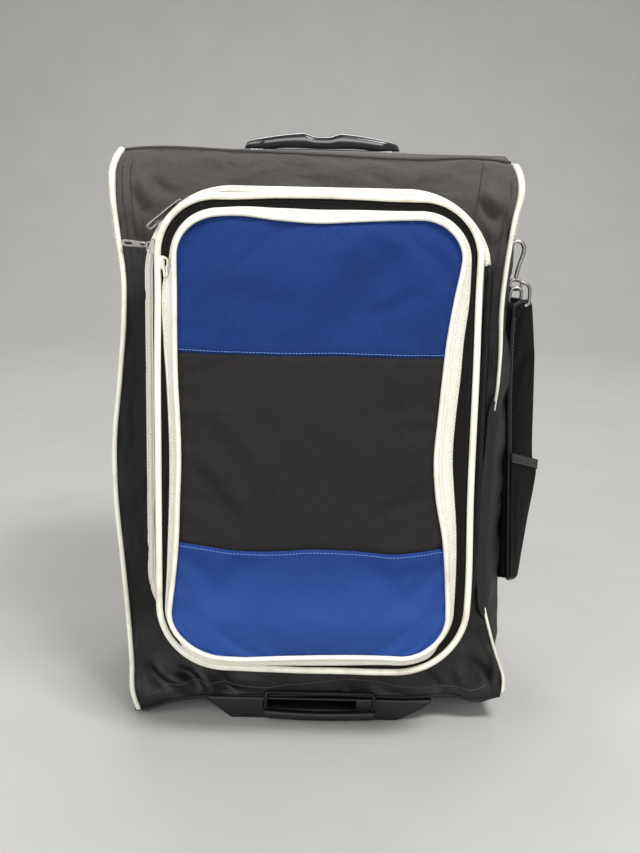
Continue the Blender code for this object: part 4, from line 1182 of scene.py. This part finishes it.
def panel_points():
    """The flap's cloth from edge to edge: heights in rows, settled as one padded sheet."""
    left, right, low, high = PANEL_BOX
    zs = [low + (SEAM_LOW - low) * np.linspace(0, 1, 32) ** 1.4,
          np.linspace(SEAM_LOW, SEAM_HIGH, 48),
          high - (high - SEAM_HIGH) * np.linspace(1, 0, 36) ** 1.4]
    rows = np.concatenate([zs[0], zs[1][1:], zs[2][1:]])[:, None]
    radius = np.where(rows < (low + high) / 2, PANEL_RADIUS[0], PANEL_RADIUS[1])
    over = np.maximum(low + radius - rows, 0.0) + np.maximum(rows - (high - radius), 0.0)
    half = (right - left) / 2 - radius + np.sqrt(np.maximum(radius**2 - over**2, 0.0))
    share = np.sin(np.linspace(-1, 1, 92) * math.pi / 2)[None, :]
    x = (left + right) / 2 + half * share
    z = np.broadcast_to(rows, x.shape)
    edge = np.minimum(half - np.abs(x - (left + right) / 2), np.minimum(z - low, high - z))
    px, pz = panel_warp(x, z)
    wavy = 0.0016 * np.sin(px * 52.0 + 1.1) * hump(z, SEAM_LOW, 0.02)
    wavy = wavy + 0.0004 * np.sin(px * 40.0) * hump(z, SEAM_HIGH, 0.02)
    puff = 0.0034 * smooth(0.0, 0.05, edge) + 0.001 * smooth(0.0, 0.008, edge)
    d = POCKET_FACE + 0.001 - puff - panel_dents(px, pz) * smooth(0.0, 0.035, edge)
    height = pz - 0.0035 * hump(z, SEAM_LOW, 0.03) - 0.0028 * hump(z, SEAM_HIGH, 0.03) + wavy
    points = np.stack([px, d, height], 2)
    points = settle(points, edges(points.shape), pressure=1.6, slack=0.012, cap=0.0065)
    seams = (len(zs[0]) - 1, len(zs[0]) + len(zs[1]) - 2)
    for row in seams:
        points[row, 1:-1, 1] += 0.0011
        for near in (row - 1, row + 1):
            points[near, 1:-1, 1] += 0.0003
    return points, seams


def pocket_panels():
    """Three sewn panels cut from the settled sheet, their cord and their topstitching."""
    points, (low, high) = panel_points()
    parts = (("bottom", points[:low + 1], PANEL_BLUE, "blue_fabric"),
             ("middle", points[low:high + 1], PANEL_BLACK, "black_fabric"),
             ("top", points[high:], PANEL_BLUE, "blue_fabric"))
    for row, part, material, slot in parts:
        panel = sheet_object(f"pocket_cloth_{row}", part, material, thickness=0.002)
        own(panel, "pocket_flap", slot, f"pocket_panel_{row}")
    cord = ring_rail(PANEL_RING.shifted(0.0014).points + np.array([0.0, -0.0012, 0.0]))
    own(sweep("pocket_edge_piping", cord.resampled(0.0025), circle(PANEL_PIPE), CREAM), "pocket_flap",
        "cream_piping", "pocket_piping")
    for row, step, name in ((low, -1, "low"), (high, 1, "high")):
        line = points[row] + (points[row + step] - points[row]) * 0.62
        line = line[2:-2] + np.array([0.0, -0.0006, 0.0])
        stitch_row(f"pocket_seam_stitching_{name}", Rail(line, outward=(0, 0, 1)), 0.003,
                   (0.002, 0.0005, 0.0005), BLUE_THREAD, "pocket_flap", "blue_fabric")


# ---- hard parts ----
def finish_node(name, material):
    """Shows a CAD node as it is, with its finish."""
    node = NODES[name]
    node.data.materials.clear()
    node.data.materials.append(material)
    return node


def moulded(name, node, material, body_name, slot, voxel=0.0009, rounds=6):
    """A CAD solid with softened, moulded edges."""
    obj = bpy.data.objects.new(name, NODES[node].data.copy())
    bpy.context.scene.collection.objects.link(obj)
    obj.data.materials.clear()
    obj.data.materials.append(material)
    remesh = obj.modifiers.new("remesh", "REMESH")
    remesh.mode = "VOXEL"
    remesh.voxel_size = voxel
    soften = obj.modifiers.new("soften", "SMOOTH")
    soften.iterations = rounds
    soften.factor = 0.5
    apply_modifiers(obj)
    obj.data.shade_smooth()
    return own(obj, body_name, slot, node)


def squared(angles, power):
    """Shares across and up of a softly squared section, at each angle round it."""
    across, up = np.cos(angles), np.sin(angles)
    return np.sign(across) * np.abs(across) ** power, np.sign(up) * np.abs(up) ** power


def grip():
    """The arched pull-out grip, lofted from its front profile with a thumb scoop in the middle."""
    lo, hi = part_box("handle_grip")
    half, base, top = (hi.x - lo.x) / 2 - 0.003, lo.z, hi.z
    mid_d, deep = (lo.y + hi.y) / 2 - FRONT_Y, (hi.y - lo.y) / 2
    crest = through([
        (0.0, top), (0.024, top), (0.045, top - 0.0024), (0.06, top - 0.005), (0.069, top - 0.0068),
        (half - 0.005, top - 0.0084), (half - 0.0016, top - 0.0108), (half, base + 0.0024)])
    under = through([(0.0, base + 0.0008), (0.044, base + 0.0008), (0.052, base), (half, base)])
    xs = half * np.sin(np.linspace(-1, 1, 141) * math.pi / 2)
    ring_y, ring_z = squared(np.linspace(0, 2 * math.pi, 36, endpoint=False), 0.6)
    x = np.abs(xs)
    scoop = 0.0032 * (1 - smooth(0.006, 0.019, x)) - 0.0002 * hump(x, 0.02, 0.002)
    high, low = crest(x) - scoop, under(x)
    width = deep * (0.72 + 0.28 * smooth(half, half - 0.02, x))
    rings = [np.stack([xs, mid_d + width * out, (high + low) / 2 + (high - low) / 2 * up], 1)
             for out, up in zip(ring_y, ring_z)]
    own(loft("pull_out_grip", rings, GLOSS, closed=False), "handle_upper", "gloss_plastic",
        "handle_grip")


def reshape(obj, change):
    """Moves a piece's points by a function of their places in the bag's own frame."""
    mesh = obj.data
    points = np.array([v.co for v in mesh.vertices]) - ORIGIN
    moved = change(points) + ORIGIN
    mesh.vertices.foreach_set("co", moved.ravel())
    mesh.update()
    return obj


def bezel():
    """The handle's housing: a low rounded rim along its front that slopes away at both ends."""
    crest = through([
        (-0.1035, 0.5262), (-0.094, 0.5275), (-0.08, 0.5292), (-0.04, 0.5298), (0.0, 0.53), (0.04, 0.5298),
        (0.076, 0.5292), (0.088, 0.528), (0.0965, 0.5258), (0.1035, 0.525)])

    def lowered(points):
        top = crest(points[:, 0])
        over = np.maximum(points[:, 2] - (top - 0.002), 0.0)
        points[:, 2] -= over - 0.002 * (1 - np.exp(-over / 0.002))
        return points

    reshape(moulded("handle_bezel", "handle_housing", BEZEL, "body", "satin_plastic"), lowered)


FOOT_OPEN = (-0.04, 0.059)           # sides of the grab opening
FOOT_SPAN = (-0.0975, 0.1165)           # ends of the foot below the front


def foot():
    """The moulded foot, wider on its right as in the photo, with a tapered flank at each end."""
    lo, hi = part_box("front_foot")

    def widened(points):
        points[:, 0] = np.interp(points[:, 0], [lo.x - CENTRE_X, *FOOT_OPEN, hi.x - CENTRE_X],
                                 [FOOT_SPAN[0], *FOOT_OPEN, FOOT_SPAN[1]])
        return points

    reshape(moulded("front_grab_foot", "front_foot", SATIN, "body", "satin_plastic"), widened)


def rounded_bar(name, line, radius_out, radius_face, material, power=0.7):
    """A softly squared bar along a line of places."""
    across, up = squared(np.linspace(0, 2 * math.pi, 24, endpoint=False), power)
    section = np.stack([radius_out * across, radius_face * up], 1)
    return sweep(name, Rail(np.array(line), outward=(0, 0, 1)), section, material)


def grab_frame():
    """The moulded rim that frames the grab opening, with the bar across its foot."""
    (left, right), low, high = FOOT_OPEN, 0.007, 0.0268
    rim = outline(left - 0.0035, right + 0.0035, low - 0.0045, high + 0.0018, 0.005, 0.005)
    hole = outline(left, right, low + 0.0045, high, 0.003, 0.003)
    rings = [at_depth(rim, 0.003), at_depth(rim, -0.0028), at_depth(between(rim, hole, 0.3), -0.004),
             at_depth(between(rim, hole, 0.7), -0.004), at_depth(hole, -0.0026), at_depth(hole, 0.015)]
    rings.append(at_depth(ring_rail(hole).shifted(0.0016).points, 0.015))
    rings.append(at_depth(ring_rail(hole).shifted(0.0016).points, 0.003))
    own(loft("grab_opening_rim", rings, SATIN), "body", "satin_plastic")
    xs = np.linspace(left - 0.003, right + 0.003, 50)
    bow = 1 - ((xs - (left + right) / 2) / ((right - left) / 2)) ** 2
    line = np.stack([xs, -0.006 - 0.0012 * bow, low + 0.0006 - 0.0012 * bow], 1)
    own(rounded_bar("grab_bar", line, 0.0042, 0.004, SATIN), "body", "satin_plastic")
    ramp = np.stack([[(left, 0.013 + 0.004 * k, low + 0.003 + 0.0075 * k),
                      (right, 0.013 - 0.001 * k, low + 0.004 + 0.0085 * k)] for k in range(4)])
    own(sheet_object("grab_opening_back", ramp, SATIN, thickness=0.0015), "body", "satin_plastic")


def wheels():
    """The two tyres, with grooved treads; their rims and axles are the CAD's own."""
    for side in ("left", "right"):
        lo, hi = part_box(f"tyre_{side}")
        x = (lo.x + hi.x) / 2 - CENTRE_X
        d, z = (lo.y + hi.y) / 2 - FRONT_Y, (lo.z + hi.z) / 2
        radius, half = (hi.z - lo.z) / 2, (hi.x - lo.x) / 2
        angles = np.linspace(0, 2 * math.pi, 145)[:-1]
        groove = 0.0004
        shoulder = [(1.0, radius * 0.72), (1.0, radius * 0.9), (0.86, radius * 0.975),
                    (0.6, radius * 0.998), (0.3, radius), (0.26, radius - groove),
                    (0.14, radius - groove), (0.1, radius)]
        profile = [(-half * a, r) for a, r in shoulder] + [(half * a, r) for a, r in reversed(shoulder)]
        rings = [np.stack([np.full_like(angles, x + a), d + r * np.cos(angles), z + r * np.sin(angles)], 1)
                 for a, r in profile]
        own(loft(f"tyre_tread_{side}", rings, RUBBER), f"wheel_{side}", "tyre", f"tyre_{side}")


def hard_parts():
    grip()
    bezel()
    foot()
    grab_frame()
    wheels()
    for side in ("left", "right"):
        moulded(f"wheel_shroud_{side}", f"wheel_housing_{side}", SATIN, "body", "satin_plastic")
        finish_node(f"wheel_rim_{side}", RIM)
        finish_node(f"wheel_bearing_{side}", STEEL)
        finish_node(f"axle_{side}", STEEL)
        for stage in ("outer", "middle", "inner"):
            finish_node(f"handle_{stage}_tube_{side}", ALUMINIUM)
    for number in range(1, 5):
        finish_node(f"foot_screw_{number}", STEEL)
    for name in ("back_board", "base_board", "lid_inner_panel"):
        finish_node(name, BOARD)
    finish_node("handle_bottom_bracket", SATIN)
    button = moulded("grip_push_button", "grip_button", GLOSS, "button", "gloss_plastic", voxel=0.0005,
                     rounds=4)
    reshape(button, lambda points: points - np.array([0.0, 0.0, 0.003]))
    foam_cups()


def foam_cups():
    """The two moulded foam rests that hold the balls."""
    for level in ("lower", "upper"):
        cup = moulded(f"foam_ball_rest_{level}", f"ball_cup_{level}", FOAM, "body", "foam", voxel=0.0022,
                      rounds=8)


# ---- sliders, ring, hook ----
def wire_path(name, points, radius, closed=False):
    rail = Rail(np.array(points, float), outward=(0, 1, 0), closed=closed)
    return sweep(name, rail, circle(radius, 10), WIRE)


# where the photo shows the sliders against their middle places on the zip
SLIDER_BY = {"lower": (0.0, 0.0, 0.0045), "upper": (0.0025, 0.0, -0.005)}


def metal_parts():
    for level in ("lower", "upper"):
        name = f"main_zip_slider_{level}"
        casting = moulded(f"{name}_casting", name, NICKEL, f"slider_{level}", "nickel", voxel=0.00035,
                          rounds=3)
        reshape(casting, lambda points, by=SLIDER_BY[level]: points + np.array(by))
    moulded("pocket_zip_slider_casting", "pocket_zip_slider", TEETH, "pocket_slider", "cream_piping",
            voxel=0.0004, rounds=3)
    pull("lower", (-0.1502, -0.008, 0.446), (-0.1712, -0.008, 0.4476), 0.004, 48.0)
    pull("upper", (-0.119, -0.01, 0.485), (-0.1486, -0.009, 0.4602), 0.0042, 40.0)
    side_hook()
    moulded("snap_hook_gate_cast", "snap_hook_gate", NICKEL, "gate", "nickel", voxel=0.00045, rounds=4)
    ring = moulded("side_ring_cast", "side_ring", WIRE, "ring", "nickel", voxel=0.00045, rounds=4)
    reshape(ring, lambda points: points + np.array([-0.0055, 0.0, -0.008]))


def side_hook():
    """The snap hook's thick wire bow with its ball and eye, and the pouch's two wire rings."""
    d = 0.098

    def at(depth, *places):
        return [(x, depth, z) for x, z in places]

    bow = at(d, (0.1822, 0.435), (0.182, 0.443), (0.1845, 0.4478), (0.1885, 0.449), (0.193, 0.447),
             (0.195, 0.442), (0.1944, 0.437), (0.1922, 0.43), (0.1902, 0.423), (0.189, 0.418),
             (0.1886, 0.413))
    wire = wire_path("bow", smoothed(bow, 60), 0.002)
    ball = rounded_bar("ball", at(d, (0.1886, 0.416), (0.1886, 0.4108)), 0.0027, 0.0027, WIRE, 1.0)
    turn = np.linspace(0, 2 * math.pi, 33)[:-1]
    eye = at(d, *((0.1886 + 0.0055 * math.sin(a), 0.4075 + 0.005 * math.cos(a)) for a in turn))
    own(join("snap_hook_wire", [wire, ball, wire_path("eye", eye, 0.0014, closed=True)]), "hook",
        "nickel", "snap_hook_body")
    front = at(d - 0.004, (0.183, 0.4), (0.185, 0.404), (0.1895, 0.4052), (0.1935, 0.403),
               (0.1942, 0.3985), (0.193, 0.389), (0.186, 0.3862), (0.1826, 0.39))
    behind = at(d + 0.004, (0.1835, 0.4095), (0.188, 0.4122), (0.195, 0.4098), (0.2005, 0.4078),
                (0.2032, 0.404), (0.2034, 0.396), (0.203, 0.3885), (0.198, 0.386), (0.188, 0.386),
                (0.1832, 0.39), (0.1826, 0.4))
    rings = [wire_path("ring", smoothed(points, 72, closed=True), 0.0017, closed=True)
             for points in (front, behind)]
    own(join("pouch_wire_rings", rings), "pouch", "nickel", "pouch_ring")


def smoothed(points, count, closed=False):
    """Evenly spaced places along a rounded line through a few corners."""
    points = np.array(points, float)
    for _ in range(3):
        ahead = np.roll(points, -1, 0) if closed else points[1:]
        here = points if closed else points[:-1]
        cut = np.stack([here * 0.75 + ahead * 0.25, here * 0.25 + ahead * 0.75], 1).reshape(-1, 3)
        points = cut if closed else np.vstack([points[:1], cut, points[-1:]])
    run = np.vstack([points, points[:1]]) if closed else points
    at = np.concatenate([[0.0], np.cumsum(np.linalg.norm(np.diff(run, axis=0), axis=1))])
    even = np.linspace(0.0, at[-1], count, endpoint=not closed)
    return np.stack([np.interp(even, at, run[:, k]) for k in range(3)], 1)


def pull(level, near, far, half, turn):
    """A flat stamped pull from its eye to its tip, with a slot near the tip, turned about its length."""
    node = f"main_zip_pull_{level}"
    near, far = np.array(near), np.array(far)
    length = np.linalg.norm(far - near)
    along = (far - near) / length
    depth = np.array([0.0, 1.0, 0.0])
    side = np.cross(along, depth)
    flat = depth * math.cos(math.radians(turn)) + side * math.sin(math.radians(turn))
    thin = 0.0007

    def spot(share_along, share_across):
        return near + along * share_along + flat * share_across

    loop = list(zip(*squared(np.linspace(0, 2 * math.pi, 40, endpoint=False), 0.35)))
    outer = [spot(length / 2 + length / 2 * a, half * b * (0.88 + 0.12 * a)) for a, b in loop]
    slot = [spot(length - 0.0056 + 0.0032 * a, half * 0.56 * b) for a, b in loop]
    eye = [spot(0.0032 + 0.002 * a, half * 0.45 * b) for a, b in loop]
    stamped_plate(f"{node}_stamped", outer, [slot, eye], np.cross(along, flat) * thin, f"pull_{level}", node)


def stamped_plate(name, outer, holes, half_thick, body_name, node):
    """A flat plate with holes, cut by Boolean from its outline and softened."""
    def slab(points, grow):
        points = np.array(points)
        count = len(points)
        verts = np.concatenate([points - half_thick * grow, points + half_thick * grow])
        faces = [tuple(range(count)), tuple(range(2 * count - 1, count - 1, -1))]
        faces += [(k, (k + 1) % count, count + (k + 1) % count, count + k) for k in range(count)]
        obj = mesh_object("slab", verts + ORIGIN, faces, NICKEL, smooth_shading=False)
        fix_normals(obj)
        return obj

    plate = slab(outer, 1.0)
    cutters = [slab(hole, 4.0) for hole in holes]
    for cutter in cutters:
        mod = plate.modifiers.new("cut", "BOOLEAN")
        mod.operation = "DIFFERENCE"
        mod.object = cutter
    edge = plate.modifiers.new("edge", "BEVEL")
    edge.width = 0.0002
    edge.segments = 2
    edge.limit_method = "ANGLE"
    apply_modifiers(plate)
    for cutter in cutters:
        bpy.data.objects.remove(cutter, do_unlink=True)
    plate.name = name
    own(plate, body_name, "nickel", node)


# ---- hanging pouch ----
POUCH_LO, POUCH_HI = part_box("pouch_back_panel")
POUCH_LOW, POUCH_TOP = POUCH_LO.z + 0.013, POUCH_HI.z + 0.017
POUCH_NEAR_D = 0.046
POUCH_DEEP = 0.104                      # front edge to rear edge
POUCH_NEAR = through([
    (0.09, 0.1905), (0.129, 0.1885), (0.188, 0.1857), (0.255, 0.1825), (0.305, 0.18), (0.371, 0.179),
    (0.396, 0.18)])
POUCH_FAR = through([
    (0.088, 0.2125), (0.15, 0.217), (0.219, 0.2226), (0.232, 0.2218), (0.285, 0.22), (0.326, 0.2185),
    (0.396, 0.2115)])
POUCH_MOUTH = 0.254
POUCH_THICK = 0.01
SHOULDER = 0.005
HEM = 0.0085
GUSSET_FROM = 0.86                      # the pocket's cloth turns back to the pouch beyond this share
STRAP_X = 0.174                         # the strap lies close against the side


def pouch_place(u, z, out=0.0):
    """A place on the twisted pouch: u from its front edge to its rear edge, out from its face."""
    u, z, out = np.broadcast_arrays(u, z, out)
    near, far = POUCH_NEAR(z), POUCH_FAR(z)
    length = np.hypot(far - near, POUCH_DEEP)
    x = near + (far - near) * u + 0.0016 * np.sin(np.pi * u) + out * POUCH_DEEP / length
    return np.stack([x, POUCH_NEAR_D + POUCH_DEEP * u - out * (far - near) / length, z], -1)


def pouch_slope(u, z):
    """The pouch hangs askew: its rear edge is lower than its front edge, most of all at the bottom."""
    return -u * (0.01 + 0.024 * smooth(0.39, 0.22, z))


def pouch_layer(low, high, rows, outward, seed, columns=44, us=None):
    u = np.linspace(0, 1, columns) if us is None else us
    u = np.broadcast_to(u[None, :], (rows, len(u)))
    share = np.linspace(0, 1, rows)[:, None]
    shoulder = SHOULDER * np.abs(2 * u - 1) ** 3 if high > 0.3 else 0.0
    z = low + (high - shoulder - low) * share
    z = z + pouch_slope(u, z)
    points = pouch_place(u, z, outward(u, share) + 0.0008 * ripple(u * 0.1, z, z * 0, 28.0, seed))
    return settle(points, edges(points.shape, 2, 2, 2, 2), pressure=0.6, slack=0.012, cap=0.0025)


def pouch():
    """The twisted flat pouch that hangs at the side: padded back, standing pocket, hem and binding."""
    def back_outer(u, share):
        return 0.0016 * (np.sin(np.pi * u) * np.sin(np.pi * share)) ** 0.35

    outer = pouch_layer(POUCH_LOW, POUCH_TOP, 80, back_outer, 3.0)
    back = sheet_object("pouch_padded_back", outer, POUCH_CLOTH, thickness=POUCH_THICK)
    own(back, "pouch", "black_fabric", "pouch_back_panel")

    # the pocket stands off towards the rear edge, where a narrow gusset closes it
    columns = 52
    s = np.linspace(0, 1, columns)
    us = np.minimum(s / GUSSET_FROM, 1.0)
    stand = np.where(s < GUSSET_FROM, (s / GUSSET_FROM) ** 1.3, 1 - (s - GUSSET_FROM) / 0.14)

    def pocket_out(u, share):
        return 0.0028 + 0.004 * share**0.8 * stand[None, :]

    face = pouch_layer(POUCH_LOW + 0.001, POUCH_MOUTH, 60, pocket_out, 6.0, columns, us)
    front = sheet_object("pouch_pocket_cloth", face, POUCH_CLOTH, thickness=0.0012)
    own(front, "pouch", "black_fabric", "pouch_pocket")
    rows = int(round(HEM / (POUCH_MOUTH - POUCH_LOW) * 60)) + 1
    lift = pouch_place(us, POUCH_MOUTH, 0.0009) - pouch_place(us, POUCH_MOUTH)
    hem = face[-rows:] + lift[None]
    own(sheet_object("pouch_hem", hem, BINDING, thickness=0.0024), "pouch", "black_binding")
    lines = []
    for index in (1, rows - 1):
        line = face[-index - 1] + lift * 1.5
        rail = Rail(line[1:-8], outward=(0, 0, 1)).resampled(0.003)
        lines.append(bricks("row", rail, 0.0021, 0.0006, 0.0006, GREY_THREAD))
    own(join("pouch_hem_stitching", lines), "pouch", "black_binding")
    z = np.linspace(POUCH_LOW, POUCH_TOP - SHOULDER, 90)
    low_u, top_u = np.linspace(0, 1, 40), np.linspace(1, 0, 40)
    up_near = pouch_place(0.0, z)[::-1]
    along_low = pouch_place(low_u, POUCH_LOW - 0.0005 + pouch_slope(low_u, POUCH_LOW))
    up_far = pouch_place(1.0, z + pouch_slope(1.0, z))
    along_top = pouch_place(top_u, POUCH_TOP - SHOULDER * np.abs(2 * top_u - 1) ** 3
                            + pouch_slope(top_u, POUCH_TOP))
    loop = np.concatenate([up_near, along_low[1:], up_far[1:], along_top[1:-1]])
    rail = Rail(loop, outward=(1, 0, 0), closed=True).resampled(0.003)
    own(sweep("pouch_binding", rail, circle(0.0017, 10), BINDING), "pouch", "black_binding")
    seam = pouch_place(0.035, np.linspace(POUCH_LOW + 0.004, POUCH_TOP - 0.016, 80), 0.0016)
    stitch_row("pouch_edge_stitching", Rail(seam, outward=(0, 1, 0)), 0.0032, (0.0022, 0.0005, 0.0006),
               GREY_THREAD, "pouch")
    tab = moulded("pouch_hanging_tab", "pouch_tab", BINDING, "pouch", "black_binding", voxel=0.0006, rounds=4)
    strap = moulded("side_ring_strap", "side_ring_tab", BINDING, "body", "black_binding", voxel=0.0006,
                    rounds=4)
    reshape(strap, lambda points: np.stack([STRAP_X + (points[:, 0] - STRAP_X) * 0.35, points[:, 1],
                                            points[:, 2]], 1))


# ---- stage ----
CAMERA_AWAY = 1.07                  # camera to the body's front face, along the floor
CAMERA_UP = 0.529
CAMERA_SIDE = 0.004
CAMERA_PITCH = math.radians(12.8)
CAMERA_ROLL = math.radians(1.25)
CAMERA_LENS = 51.3


def backdrop():
    """A pale floor that curves up into a plain wall well behind the bag."""
    profile = [(-4.0, 0.0), (2.2, 0.0)]
    for k in range(1, 17):
        angle = k / 16 * math.pi / 2
        profile.append((2.2 + 1.2 * math.sin(angle), 1.2 - 1.2 * math.cos(angle)))
    profile.append((3.4, 5.0))
    verts, faces = [], []
    for y, z in profile:
        verts += [(-7.0, y, z), (7.0, y, z)]
    for k in range(len(profile) - 1):
        faces.append((2 * k, 2 * k + 1, 2 * k + 3, 2 * k + 2))
    paint = Shader("studio_paint", (0.5, 0.488, 0.465), 0.75)
    paint.tint(paint.spread(paint.noise(9.0, 4.0), 0.3, 0.7), (0.49, 0.478, 0.455), (0.51, 0.498, 0.475))
    floor = mesh_object("studio_floor", verts, faces, paint.material)


def lights():
    world = bpy.data.worlds.new("studio")
    bpy.context.scene.world = world
    world.use_nodes = True
    world.node_tree.nodes["Background"].inputs["Color"].default_value = (0.92, 0.95, 1.0, 1.0)
    world.node_tree.nodes["Background"].inputs["Strength"].default_value = 0.3
    lamps = (("key", (0.7, -1.2, 2.2), (0.8, 0.6), 46.0), ("fill", (-1.7, -1.7, 1.3), (1.6, 1.6), 26.0),
             ("front", (0.3, -2.6, 1.1), (1.4, 1.0), 22.0), ("rear", (0.0, 2.2, 2.6), (2.4, 1.4), 50.0))
    for name, at, size, power in lamps:
        data = bpy.data.lights.new(name, "AREA")
        data.shape = "RECTANGLE"
        data.size, data.size_y = size
        data.energy = power
        lamp = bpy.data.objects.new(name, data)
        lamp.location = at
        lamp.rotation_euler = (Vector((0.0, 0.0, 0.25)) - Vector(at)).to_track_quat("-Z", "Y").to_euler()
        bpy.context.scene.collection.objects.link(lamp)
    bpy.context.scene.view_settings.view_transform = "Standard"


def photo_camera():
    data = bpy.data.cameras.new("photo_camera")
    data.lens = CAMERA_LENS
    data.sensor_width = 36.0
    data.sensor_fit = "AUTO"
    camera = bpy.data.objects.new("photo_camera", data)
    camera.location = (CENTRE_X + CAMERA_SIDE, FRONT_Y - CAMERA_AWAY, CAMERA_UP)
    camera.rotation_mode = "QUATERNION"
    look = Vector((0.0, math.cos(CAMERA_PITCH), -math.sin(CAMERA_PITCH))).to_track_quat("-Z", "Y")
    camera.rotation_quaternion = look @ Quaternion((0, 0, 1), CAMERA_ROLL)
    bpy.context.scene.collection.objects.link(camera)
    bpy.context.scene.camera = camera


def main():
    photo_camera()
    body()
    body_piping()
    front_seams()
    lid()
    main_zip()
    hinge_strip()
    pocket_panels()
    pocket_zip()
    hard_parts()
    metal_parts()
    pouch()
    backdrop()
    lights()


main()
